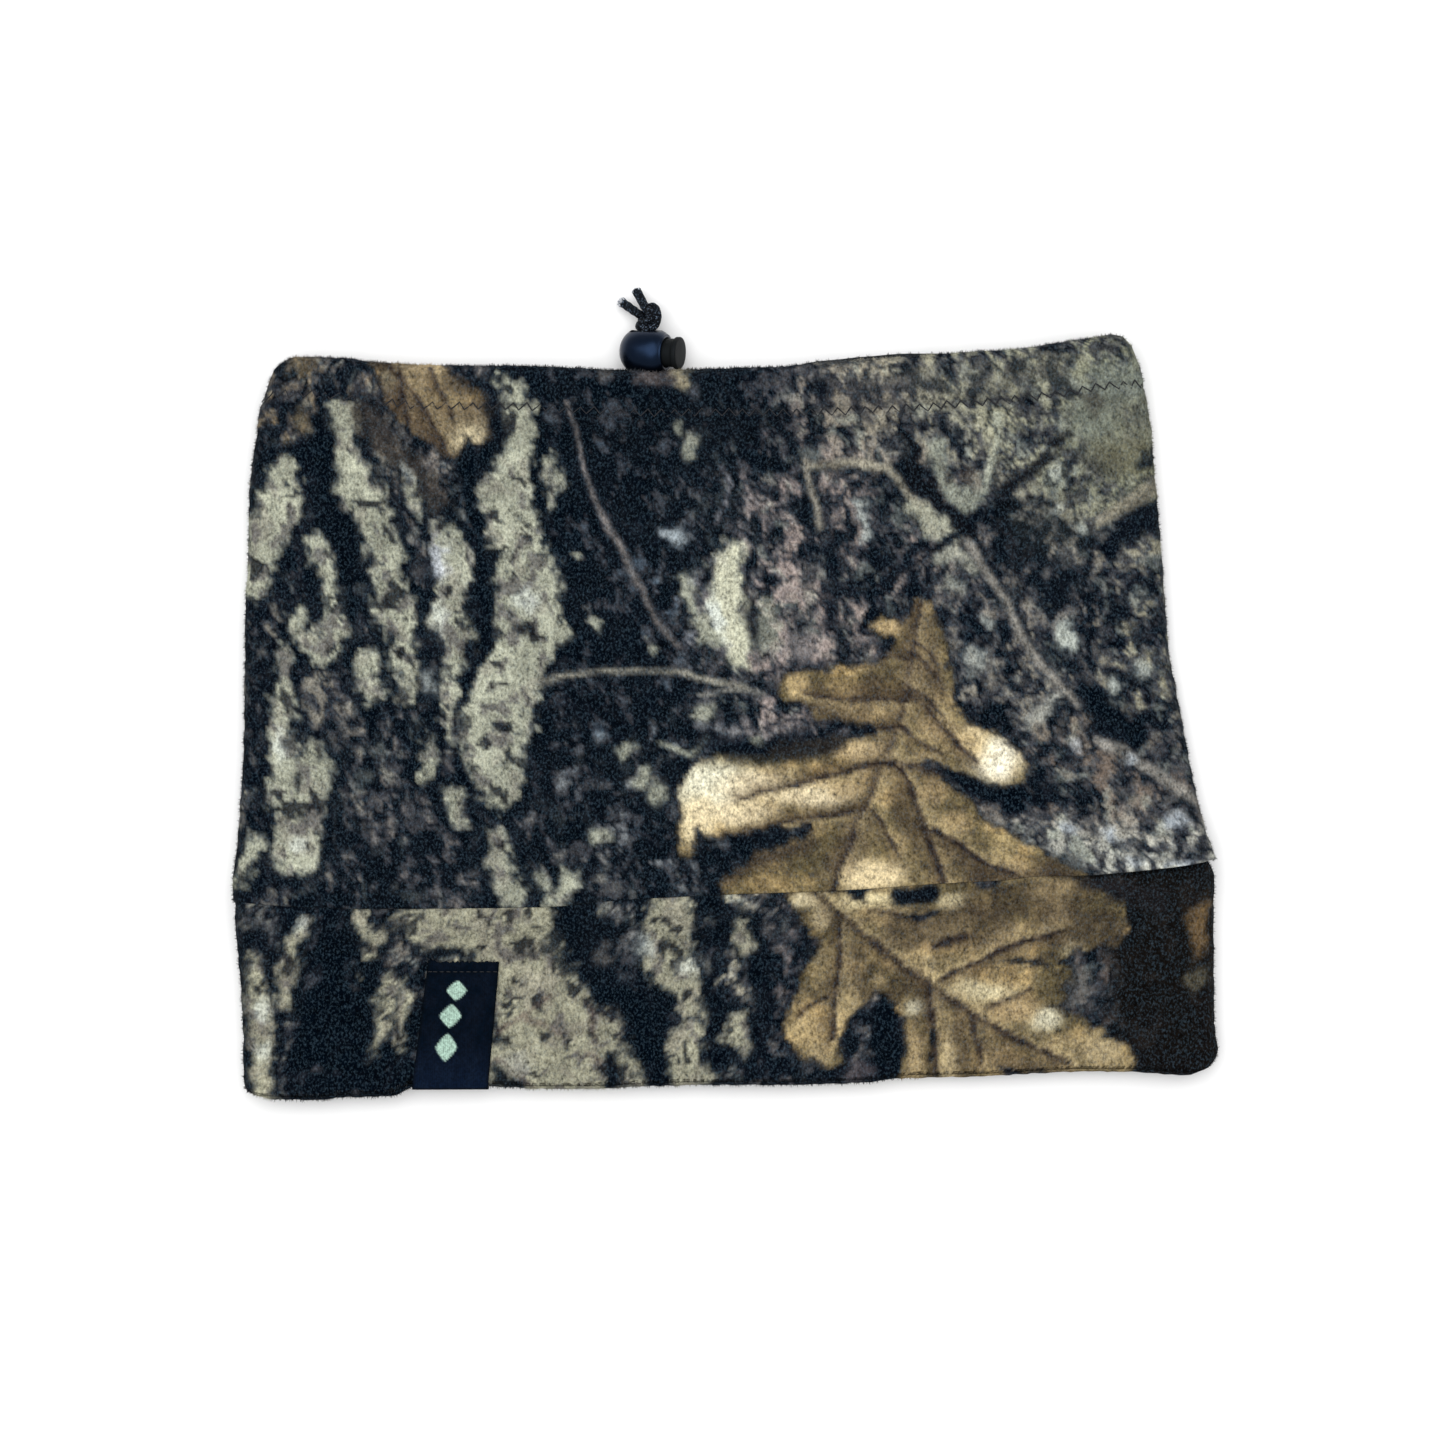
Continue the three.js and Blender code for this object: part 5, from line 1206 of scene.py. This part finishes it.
# ------------------------------------------------------------------ tubes and threads
def tube(points, radius, sides=8, closed=False, up=None, cap=True):
    """Vertices and faces of a round tube along points (n, 3)."""
    P = np.asarray(points, float)
    n = len(P)
    rad = np.broadcast_to(np.asarray(radius, float), (n,)) if np.ndim(radius) < 2 else radius
    if closed:
        T = np.roll(P, -1, 0) - np.roll(P, 1, 0)
    else:
        T = np.gradient(P, axis=0)
    T /= np.linalg.norm(T, axis=1)[:, None] + 1e-12
    N = np.zeros_like(P)
    ref = np.array([0.0, 0, 1]) if up is None else np.asarray(up, float)
    if abs(T[0] @ ref) > 0.9:
        ref = np.array([1.0, 0, 0])
    cur = ref - T[0] * (T[0] @ ref)
    cur /= np.linalg.norm(cur)
    for i in range(n):
        cur = cur - T[i] * (T[i] @ cur)
        cur /= np.linalg.norm(cur) + 1e-12
        N[i] = cur
    if closed:      # spread the leftover twist
        c0 = N[0] - T[0] * 0
        last = N[-1] - T[0] * (T[0] @ N[-1]); last /= np.linalg.norm(last)
        ang = math.atan2(np.cross(last, c0) @ T[0], last @ c0)
        for i in range(n):
            w = ang * i / n
            B = np.cross(T[i], N[i])
            N[i] = N[i] * math.cos(w) + B * math.sin(w)
    B = np.cross(T, N)
    ang = 2 * np.pi * np.arange(sides) / sides
    R = rad if np.ndim(rad) == 2 else rad[:, None] + 0 * ang[None]
    V = P[:, None, :] + R[..., None] * (np.cos(ang)[None, :, None] * N[:, None, :] + np.sin(ang)[None, :, None] * B[:, None, :])
    faces = [tuple(f) for f in grid_faces(n, sides, closed, True).tolist()]
    V = V.reshape(-1, 3)
    if not closed and cap:
        V = np.concatenate([V, P[:1], P[-1:]])
        c0, c1 = n * sides, n * sides + 1
        for j in range(sides):
            faces.append((c0, (j + 1) % sides, j))
            faces.append((c1, (n - 1) * sides + j, (n - 1) * sides + (j + 1) % sides))
    return V, faces


def join(parts):
    vs, fs, base = [], [], 0
    for v, f in parts:
        vs.append(v)
        fs += [tuple(i + base for i in q) for q in f]
        base += len(v)
    return np.concatenate(vs), fs


def spline(points, n):
    """Centripetal-like smooth curve through points, n samples."""
    P = np.asarray(points, float)
    seg = np.sqrt(np.linalg.norm(np.diff(P, axis=0), axis=1))
    t = np.concatenate([[0], np.cumsum(seg)])
    t /= t[-1]
    q = np.linspace(0, 1, n)
    out = np.empty((n, P.shape[1]))
    for k in range(P.shape[1]):
        y = P[:, k]
        m = np.gradient(y, t)
        i = np.clip(np.searchsorted(t, q, side="right") - 1, 0, len(t) - 2)
        h = t[i + 1] - t[i]
        s = (q - t[i]) / h
        out[:, k] = (2 * s**3 - 3 * s**2 + 1) * y[i] + (s**3 - 2 * s**2 + s) * h * m[i] + (-2 * s**3 + 3 * s**2) * y[i + 1] + (s**3 - s**2) * h * m[i + 1]
    return out


def ring_u(u):
    """u in [0, 4) to ring coordinates, as the casing stitch runs all the way round."""
    u = np.mod(u, 4)
    sx = np.where(u < 1, -1 + 2 * u, np.where(u < 2, 1.0, np.where(u < 3, 1 - 2 * (u - 2), -1.0)))
    w = np.where(u < 2, (u - 1.5) * np.pi, (u - 2.5) * np.pi)
    side = ((u >= 1) & (u < 2)) | (u >= 3)
    nx = np.where(side, np.cos(w), 0.0)
    nz = np.where(side, np.sin(w), np.where(u < 1, -1.0, 1.0))
    return sx, nx, nz


def zigzag_ring(pitch, amp, depth, rad):
    """Thread zigzagging along the casing's stitch line, dipping where the needle went in."""
    run, side = 232.0, 20.7
    total = 2 * (run + side)
    count = int(round(total / pitch))
    per = 8
    m = count * per
    s = np.arange(m) / m * total
    u = np.where(s < run, s / run, np.where(s < run + side, 1 + (s - run) / side, np.where(s < 2 * run + side, 2 + (s - run - side) / run, 3 + (s - 2 * run - side) / side)))
    phase = (np.arange(m) % per) / per
    tri = np.abs(phase * 2 - 1) * 2 - 1
    sx, nx, nz = ring_u(u)
    wob = fbm(s * 1.0, s * 0.0 + 3.0, 3.1, 3.0, 2, 77)
    b = -12.0 + 0 * u
    for _ in range(2):
        x, y, z, f, _s, _t = body_at(sx, nx, nz, 1.0, b, 0.0)
        b = -(stitch_s(f) + amp * tri + (wob - 0.5) * 0.5)
    # follows the stitched groove, at times down in the pile
    surface = 0.55 * np.exp(-((amp * tri) / 0.85) ** 2)
    d = surface + depth + 0.34 * (wob - 0.5)
    x, y, z, f, _s, _t = body_at(sx, nx, nz, 1.0, b, d)
    P = np.stack([x, y, z], -1)
    return tube(P, rad, 6, closed=True)


v, fcs = zigzag_ring(3.75, 0.95, -0.06, 0.19)
o = mesh_object("casing_zigzag", v, fcs)
finish_piece(o, THREAD_MAT, "garment", ["casing_stitch"])

# hidden lap seam: a thread between the plies
m_ = 420
u_ = np.arange(m_) / m_ * 4
sx_, nx_, nz_ = ring_u(u_)
x_, y_, z_, f_, _, _ = body_at(sx_, nx_, nz_, 0.0, 4.0 + 0.5 * np.where(np.arange(m_) % 2, 1, -1), 2 * FLEECE + 2 * PLY + FLEECE + PLY + 0.22)
v, fcs = tube(np.stack([x_, y_, z_], -1), 0.18, 5, closed=True)
o = mesh_object("lap_seam_thread", v, fcs)
finish_piece(o, THREAD_MAT, "garment", ["band_join_stitch"])


def overlock(y0, y1, z, name, nodes):
    n = int((y1 - y0) / 0.42)
    y = np.linspace(y0, y1, n)
    i = np.arange(n)
    x = EXIT_X + np.where(i % 2, 1.0, -1.0) * 1.5
    zz = z + np.where(i % 2, 0.0, 0.12)
    P = np.stack([x, y, zz], -1)
    fine = spline(P, n * 3)
    a = tube(fine, 0.17, 5)
    mid = np.stack([EXIT_X + 0.4 * np.sin(y * 2.2), y, z + 0.34 + 0 * y], -1)
    b = tube(mid, 0.17, 5)
    v, f = join([a, b])
    o = mesh_object(name, v, f)
    return finish_piece(o, THREAD_MAT, "garment", nodes)


overlock(68.0, 179.0, FLEECE + 1.05, "back_seam_overlock", ["back_seam_stitch"])
overlock(9.0, 48.0, DEPTH_IN + 0.35, "band_seam_overlock", ["band_seam_stitch"])


# ------------------------------------------------------------------ woven label
def build_label():
    nu, T2 = 44, 0.26
    path = []
    up = np.linspace(1.0, 0.02, 76)
    for h in up:
        path.append(("o", h))
    for k in range(1, 12):
        path.append(("t", k / 12))
    for h in np.linspace(0.02, 0.93, 26):
        path.append(("i", h))
    us = np.linspace(0, 1, nu)
    rows = []
    for kind, h in path:
        if kind == "t":
            base = 0.02
        else:
            base = h
        y0 = 3.0 + 35.0 * base
        left = -85.5 + 4.5 * base
        right = -64.8 + 3.2 * base
        xs = left + (right - left) * us
        yy = y0 + 0 * xs
        top = band_top(xs, np.maximum(yy, 4.6)) + 0.26 + T2
        # the top end is turned under: a slightly thicker strip with a soft step
        strip = 0.42 * smooth((base - 0.925) / 0.02) - 0.10 * np.exp(-((base - 0.925) / 0.012) ** 2)
        # edges dip a little, the face crowns
        crown = 0.22 * (1 - (2 * us - 1) ** 4)
        zo = top + strip + crown
        zi = top - DEPTH_IN - 2 * T2 - 0.35
        if kind == "o":
            rows.append(np.stack([xs, yy, zo], -1))
        elif kind == "i":
            rows.append(np.stack([xs, yy, zi], -1))
        else:
            w = math.pi * h
            zc, rz = (zo + zi) / 2, (zo - zi) / 2
            rows.append(np.stack([xs, yy - math.sin(w) * 0.62, zc + rz * np.cos(w)], -1))
    C = np.array(rows)                      # (rows, nu, 3) middle surface
    # frayed top edge
    rs = np.random.RandomState(7)
    C[0, :, 1] += rs.uniform(-0.38, 0.32, nu) + 0.5 * np.exp(-((us - 0.04) / 0.05) ** 2)
    Nn = np.cross(np.gradient(C, axis=1), np.gradient(C, axis=0))
    Nn /= np.linalg.norm(Nn, axis=-1)[..., None]
    if Nn[5, nu // 2, 2] < 0:
        Nn = -Nn
    A, B = C + Nn * T2, C - Nn * T2
    m = len(rows)
    V = np.concatenate([A.reshape(-1, 3), B.reshape(-1, 3)])
    g = grid_faces(m, nu, False, False)
    faces = [tuple(q) for q in g.tolist()] + [tuple(q[::-1]) for q in (g + m * nu).tolist()]
    off = m * nu
    for i in range(m - 1):
        for j in (0, nu - 1):
            q = (i * nu + j, (i + 1) * nu + j, off + (i + 1) * nu + j, off + i * nu + j)
            faces.append(q[::-1] if j == 0 else q)
    for j in range(nu - 1):
        for i in (0, m - 1):
            q = (i * nu + j, i * nu + j + 1, off + i * nu + j + 1, off + i * nu + j)
            faces.append(q if i == 0 else q[::-1])
    o = mesh_object("label_ribbon", V, faces)
    bm = bmesh.new(); bm.from_mesh(o.data); bmesh.ops.recalc_face_normals(bm, faces=bm.faces); bm.to_mesh(o.data); bm.free()
    # woven pattern: three plain lozenges down the ribbon
    lu = np.tile(us, m)
    hh = np.repeat(np.array([p[1] if p[0] == "o" else -1 for p in path]), nu)
    col = np.zeros((len(lu), 3)) + (3, 12, 25)
    col += ((fbm(lu * 60, hh * 120, 5, 9, 3, 501) - 0.5) * 8)[:, None]
    # painted sheen: the face is lighter and bluer towards the bottom
    col += (smooth((0.5 - hh) / 0.6) * (hh > 0))[:, None] * np.array((9, 13, 20), float)
    for c_h, c_u, rx, ry in ((0.775, 0.448, 2.9, 2.8), (0.577, 0.400, 3.1, 3.3), (0.331, 0.392, 3.0, 3.9)):
        X, Y = (lu - c_u) * 19.6, (hh - c_h) * 33.9
        dd = (np.abs(X / rx) ** 1.25 + np.abs(Y / ry) ** 1.25)
        k = smooth((1.0 - dd) / 0.16)[:, None] * (hh > 0)[:, None]
        col = col * (1 - k) + np.array((170, 200, 184), float) * k
    edge = smooth((0.035 - np.minimum(lu, 1 - lu)) / 0.02)[:, None]
    col = col * (1 - 0.35 * edge)
    fold = np.exp(-((hh - 0.918) / 0.006) ** 2)[:, None]
    col = col * (1 - 0.55 * fold)
    set_colour(o, np.concatenate([col, col * 0.8]))
    return o, C


label, label_mid = build_label()
finish_piece(label, LABEL_MAT, "garment", ["woven_label"])

# stitches across the label's turned end, and loose ends at its corner
parts = []
row = label_mid[6]
n_st = 11
for i in range(n_st):
    c = row[int(2 + i * (len(row) - 5) / (n_st - 1))]
    p0 = c + np.array([-0.62, 0.02, 0.12]); p1 = c + np.array([0.0, 0.0, 0.44]); p2 = c + np.array([0.62, -0.02, 0.12])
    parts.append(tube(spline([p0, p1, p2], 7), 0.15, 6))
rs = np.random.RandomState(21)
for i in range(16):
    j = rs.randint(0, 8) if i < 9 else rs.randint(0, label_mid.shape[1])
    c = label_mid[0, j]
    a_ = rs.uniform(-0.9, 0.9) + (0.5 if j < 8 else 0)
    L = rs.uniform(0.5, 1.6)
    d_ = np.array([-math.sin(a_), math.cos(a_), rs.uniform(-0.1, 0.15)])
    parts.append(tube(spline([c + np.array([0, -0.3, 0]), c + d_ * L * 0.5 + np.array([0, 0, 0.1]), c + d_ * L], 5), np.linspace(0.09, 0.05, 5), 5))
v, fcs = join(parts)
o = mesh_object("label_stitches", v, fcs)
finish_piece(o, THREAD_MAT, "garment", ["label_stitch"])

# ------------------------------------------------------------------ cord lock
def refine(profile, n=5, sharp=()):
    """Rounds a profile's run of points; indices in sharp stay corners."""
    out = []
    cuts = sorted(set([0, len(profile) - 1]) | set(sharp))
    for a, b in zip(cuts[:-1], cuts[1:]):
        seg = profile[a:b + 1]
        if len(seg) == 2:
            pts = [seg[0], seg[1]]
        else:
            pts = [tuple(p) for p in spline(seg, (len(seg) - 1) * n + 1)]
        out += pts[:-1]
    out.append(profile[-1])
    return out


def lathe(profile, seg=72):
    """Surface of revolution about local X; the profile starts and ends on the axis."""
    ring = profile[1:-1]
    ang = 2 * np.pi * np.arange(seg) / seg
    V = [np.stack([np.full(seg, q), r * np.cos(ang), r * np.sin(ang)], -1) for q, r in ring]
    V = np.concatenate(V + [np.array([[profile[0][0], 0, 0], [profile[-1][0], 0, 0]])])
    m = len(ring)
    faces = [tuple(f) for f in grid_faces(m, seg, False, True).tolist()]
    s, e = m * seg, m * seg + 1
    for j in range(seg):
        faces.append((s, (j + 1) % seg, j))
        faces.append((e, (m - 1) * seg + j, (m - 1) * seg + (j + 1) % seg))
    return V, faces


def slot_cutter(hq, hz, cq, length=20.0, power=4.0, seg=40):
    ang = 2 * np.pi * np.arange(seg) / seg
    c, s = np.cos(ang), np.sin(ang)
    x = cq + hq * np.sign(c) * np.abs(c) ** (2 / power)
    z = hz * np.sign(s) * np.abs(s) ** (2 / power)
    V = np.concatenate([np.stack([x, np.full(seg, -length / 2), z], -1), np.stack([x, np.full(seg, length / 2), z], -1)])
    faces = [tuple(range(seg))[::-1], tuple(range(seg, 2 * seg))]
    faces += [(j, (j + 1) % seg, seg + (j + 1) % seg, seg + j) for j in range(seg)]
    return V, faces


def cut_and_round(o, cutter, bevel):
    mod = o.modifiers.new("cut", "BOOLEAN")
    mod.operation = "DIFFERENCE"
    mod.object = cutter
    mod.solver = "EXACT"
    bv = o.modifiers.new("round", "BEVEL")
    bv.width = bevel
    bv.segments = 3
    bv.limit_method = "ANGLE"
    bv.angle_limit = math.radians(38)
    bpy.context.view_layer.update()
    dg = bpy.context.evaluated_depsgraph_get()
    me = bpy.data.meshes.new_from_object(o.evaluated_get(dg))
    o.modifiers.clear()
    old = o.data
    o.data = me
    me.name = o.name
    bpy.data.meshes.remove(old)
    cm = cutter.data
    bpy.data.objects.remove(cutter)
    bpy.data.meshes.remove(cm)
    me.polygons.foreach_set("use_smooth", [True] * len(me.polygons))
    me.set_sharp_from_angle(angle=math.radians(42))


roll = math.radians(ROLL)
RM = np.array([[1, 0, 0], [0, math.cos(roll), -math.sin(roll)], [0, math.sin(roll), math.cos(roll)]])
HOLE_Q = -0.5


def rolled(P):
    """From the cord hole's own frame to the lock's."""
    return np.asarray(P, float) @ RM.T


shell = refine(SHELL, 3, (13, 14)) + [(6.96, 4.22), (-4.4, 4.18), (-5.0, 3.6), (-5.0, 0)]
v, fcs = lathe(shell, 120)
w_ = v @ RM
outer_ = np.hypot(w_[:, 1], w_[:, 2]) > 4.4
flat_ = 5.78
w_[:, 1] = np.where(outer_, np.clip(w_[:, 1], -flat_, flat_), w_[:, 1])
v = rolled(w_)
o = mesh_object("lock_shell", lock_to_design(v), fcs)
v, fcs = slot_cutter(2.8, 2.9, HOLE_Q)
c = mesh_object("cutter", lock_to_design(rolled(v)), fcs)
cut_and_round(o, c, 0.0003)
finish_piece(o, LOCK_MAT, "lock", ["lock_body"])

plug = [(-1.5, 0), (-1.5, 3.5), (-1.25, 3.82), (8.9, 3.9), (9.5, 3.92), (9.6, 4.0), (9.68, 4.22), (9.8, 4.4), (10.6, 4.44), (10.84, 4.36), (10.97, 4.16), (11.0, 3.9), (11.02, 2.0), (11.03, 0)]
v, fcs = lathe(plug, 96)
o = mesh_object("lock_button", lock_to_design(v), fcs)
v, fcs = slot_cutter(2.7, 2.8, HOLE_Q + 2.6)
c = mesh_object("cutter", lock_to_design(rolled(v)), fcs)
cut_and_round(o, c, 0.0002)
finish_piece(o, CAP_MAT, "plunger", ["lock_plunger"])

tt = np.linspace(0, 1, 150)
turns = 3.2
q_ = -4.75 + 2.95 * tt
coil = np.stack([q_, 2.3 * np.cos(tt * turns * 2 * np.pi), 2.3 * np.sin(tt * turns * 2 * np.pi)], -1)
v, fcs = tube(coil, 0.22, 10)
o = mesh_object("lock_coil", lock_to_design(v), fcs)
finish_piece(o, STEEL_MAT, "lock", ["lock_spring"])
anchor = (lock_to_design([-4.9, 0, 0]) + SHIFT) * MM
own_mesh(o)


# ------------------------------------------------------------------ drawcord
def braid(points, r, n_per_mm=4.5, sides=20, strands=4, pitch=2.3, amp=0.06, taper=None):
    P = np.asarray(points, float)
    L = np.linalg.norm(np.diff(P, axis=0), axis=1).sum()
    n = max(8, int(L * n_per_mm))
    S = spline(P, n)
    seg = np.concatenate([[0], np.cumsum(np.linalg.norm(np.diff(S, axis=0), axis=1))])
    th = 2 * np.pi * np.arange(sides) / sides
    ph = 2 * np.pi * seg[:, None] / pitch
    wob = np.abs(np.sin(strands * th[None] / 2 * 1 + ph / 2)) + np.abs(np.sin(strands * th[None] / 2 - ph / 2))
    R = r * (1 - amp + amp * 1.2 * (wob - 0.6))
    if taper is not None:
        R = R * np.interp(seg / seg[-1], taper[0], taper[1])[:, None]
    return tube(S, R, sides)


SQ = HOLE_Q + 1.35
S_lo = lambda e: lock_to_design(rolled([[SQ, e, -1.3]]))[0]
S_hi = lambda e: lock_to_design(rolled([[SQ, e, 1.3]]))[0]

# the loop inside the casing
depth = 3.1
drop = 6.3
uu = np.concatenate([np.linspace(0.32, 0.0, 14)[:-1], np.linspace(4.0, 3.0, 9)[:-1], np.linspace(3.0, 2.0, 40)[:-1], np.linspace(2.0, 1.0, 9)[:-1], np.linspace(1.0, 0.49, 22)])
sx_, nx_, nz_ = ring_u(uu % 4)
x_, y_, z_, _, _, _ = body_at(sx_, nx_, nz_, 1.0, -drop + 0 * uu, depth)
ringp = np.stack([x_, y_, z_], -1)
a0 = np.array([-23.0, 196.6, 3.2])
b0 = np.array([-20.4, 196.6, 3.6])
ringp = ringp[(np.arange(len(ringp)) > 0)]
lead_a = np.array([a0, a0 + np.array([-0.5, -1.5, -0.1]), a0 + np.array([-2.4, -2.6, -0.2])])
lead_b = np.array([b0 + np.array([2.4, -2.6, -0.4]), b0 + np.array([0.5, -1.5, -0.2]), b0])
keep = [p for p in ringp if not (-31.0 < p[0] < -14.0 and p[2] < 5)]
P = np.concatenate([lead_a, np.array(keep), lead_b])
v, fcs = braid(P, 1.22, 1.6, 12, 4, 2.3, 0.05)
loop_line = spline(P, max(8, int(np.linalg.norm(np.diff(P, axis=0), axis=1).sum() * 1.6)))
o = mesh_object("drawcord_loop_run", v, fcs)
finish_piece(o, CORD_MAT, "garment", ["drawcord_loop"])

# two strands from the casing into the lock
parts = [braid([a0 + (0, -0.3, 0), a0 + (0.1, 0.9, 0.15), S_lo(-6.2), S_lo(-4.5), S_lo(-2.0), S_lo(-0.4)], 1.18, 6, 20),
         braid([b0 + (0, -0.3, 0), b0 + (-0.1, 0.9, 0.6), S_hi(-6.2) + (0.3, 0, -0.3), S_hi(-4.5), S_hi(-2.0), S_hi(-0.4)], 1.18, 6, 20)]
v, fcs = join(parts)
o = mesh_object("cord_exit_strands", v, fcs)
finish_piece(o, CORD_MAT, None)
e_dir = QM @ np.array([0.0, 1.0, 0])


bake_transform(o)

# from the lock to the knot, the knot, and the two tails
tailA = [(-23.2, 214.95, 5.3), (-25.0, 216.2, 4.3), (-26.8, 217.6, 3.2), (-28.25, 218.65, 2.4)]
tailB = [(-21.7, 216.6, 6.4), (-22.55, 218.3, 5.2), (-23.45, 220.1, 4.1), (-24.3, 221.75, 3.3)]
pts = lambda rows: [np.array(p, float) for p in rows]
path1 = [S_lo(-0.4), S_lo(2.0), S_lo(4.6)] + pts([(-21.9, 211.6, 6.3), (-21.2, 213.1, 5.2), (-21.7, 214.4, 4.9)]) + pts(tailA)
path2 = [S_hi(-0.4), S_hi(2.0), S_hi(4.6)] + pts([(-20.9, 211.9, 7.6), (-20.4, 213.6, 6.7), (-20.9, 215.2, 6.6)]) + pts(tailB)
wrap1 = pts([(-22.6, 212.9, 3.9), (-23.35, 211.9, 5.4), (-22.6, 211.15, 7.1), (-20.9, 211.1, 7.9), (-19.35, 211.75, 8.1), (-18.6, 213.5, 8.1), (-18.75, 215.6, 7.6), (-19.7, 216.9, 6.4), (-20.9, 216.7, 4.9), (-21.4, 215.4, 3.9)])
wrap2 = pts([(-22.9, 213.6, 4.6), (-22.4, 212.9, 6.6), (-21.2, 212.6, 8.1), (-20.3, 213.3, 8.9), (-20.25, 214.7, 8.7), (-20.7, 215.9, 7.4), (-21.3, 216.0, 5.6)])
tp = ([0, 0.25, 0.34, 0.6, 0.70, 0.97, 1.0], [1, 1, 0.96, 0.96, 1.08, 1.12, 1.16])
v, fcs = join([braid(path1, 1.12, 6, 20, taper=tp), braid(path2, 1.15, 6, 20, taper=tp), braid(wrap1, 1.24, 6, 20), braid(wrap2, 1.15, 6, 20)])
o = mesh_object("cord_knot_and_tails", v, fcs)
finish_piece(o, CORD_MAT, None, ["strand_lower", "strand_upper", "cord_knot", "cord_tail_left", "cord_tail_right"])
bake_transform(o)

# heat-sealed, frayed ends
m_, nt, bsdf = material("cord_melt")
co = nt.nodes.new("ShaderNodeTexCoord").outputs["Object"]
n1 = noise(nt, co, 1900, 3.0, 0.6)
nt.links.new(mixc(nt, "MIX", ramp(nt, n1, 0.35, 0.7), srgb(104, 110, 120), srgb(214, 218, 224)), bsdf.inputs["Base Color"])
bsdf.inputs["Roughness"].default_value = 0.5
bump(nt, bsdf, n1, 0.5, 0.0002)
rs = np.random.RandomState(3)
parts = []
for end, prev, grey in ((tailA[-1], tailA[-2], 1.0), (tailB[-1], tailB[-2], 0.7)):
    e0, e1 = np.array(end), np.array(prev)
    t_ = (e0 - e1) / np.linalg.norm(e0 - e1)
    for k in range(60):
        r_ = rs.normal(size=3); r_ -= t_ * (r_ @ t_); r_ /= np.linalg.norm(r_)
        rad_ = rs.uniform(0.2, 1.26)
        p0 = e0 - t_ * 0.5 + r_ * rad_
        ln = rs.uniform(0.8, 1.65) * (1.15 - 0.3 * rad_) * grey
        p1 = p0 + t_ * ln * 0.6 + r_ * 0.05
        p2 = p0 + t_ * ln + r_ * rs.uniform(-0.05, 0.22)
        p2[2] = max(p2[2], 0.3); p1[2] = max(p1[2], 0.3)
        parts.append(tube(np.array([p0, p1, p2]), np.array([0.20, 0.24, 0.15]), 6))
v, fcs = join(parts)
o = mesh_object("cord_frayed_ends", v, fcs)
finish_piece(o, m_, "cord_ends")

# ------------------------------------------------------------------ stage and light
bpy.ops.mesh.primitive_plane_add(size=5.0, location=(0, 0, -0.0004))
floor = bpy.context.object
floor.name = "floor"
m_, nt, bsdf = material("floor_white")
bsdf.inputs["Base Color"].default_value = (0.93, 0.93, 0.93, 1)
bsdf.inputs["Roughness"].default_value = 0.9
bsdf.inputs["Specular IOR Level"].default_value = 0.1
floor.data.materials.append(m_)
floor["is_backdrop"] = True

world = bpy.data.worlds.new("studio")
bpy.context.scene.world = world
world.use_nodes = True
bg = next(n for n in world.node_tree.nodes if n.type == "BACKGROUND")
bg.inputs["Color"].default_value = (1.0, 1.0, 1.0, 1)
bg.inputs["Strength"].default_value = 0.50


def area(name, loc, size, power, target=(0, 0, 0)):
    L = bpy.data.lights.new(name, "AREA")
    L.shape = "RECTANGLE"
    L.size, L.size_y = size
    L.energy = power
    o = bpy.data.objects.new(name, L)
    bpy.context.scene.collection.objects.link(o)
    o.location = loc
    o.rotation_euler = (Vector(target) - Vector(loc)).to_track_quat("-Z", "Y").to_euler()
    return o


area("softbox", (-0.12, 0.18, 1.40), (1.5, 1.5), 21.0)
area("rim", (0.9, 0.7, 0.9), (0.6, 0.6), 1.6)

scene = bpy.context.scene
scene.view_settings.view_transform = "Standard"
scene.view_settings.look = "None"
scene.view_settings.exposure = 0.0

lists = lambda bb: [[float(c) for c in p] for p in bb]
{"cad": lists(CAD_BOX), "visual": lists(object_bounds())}
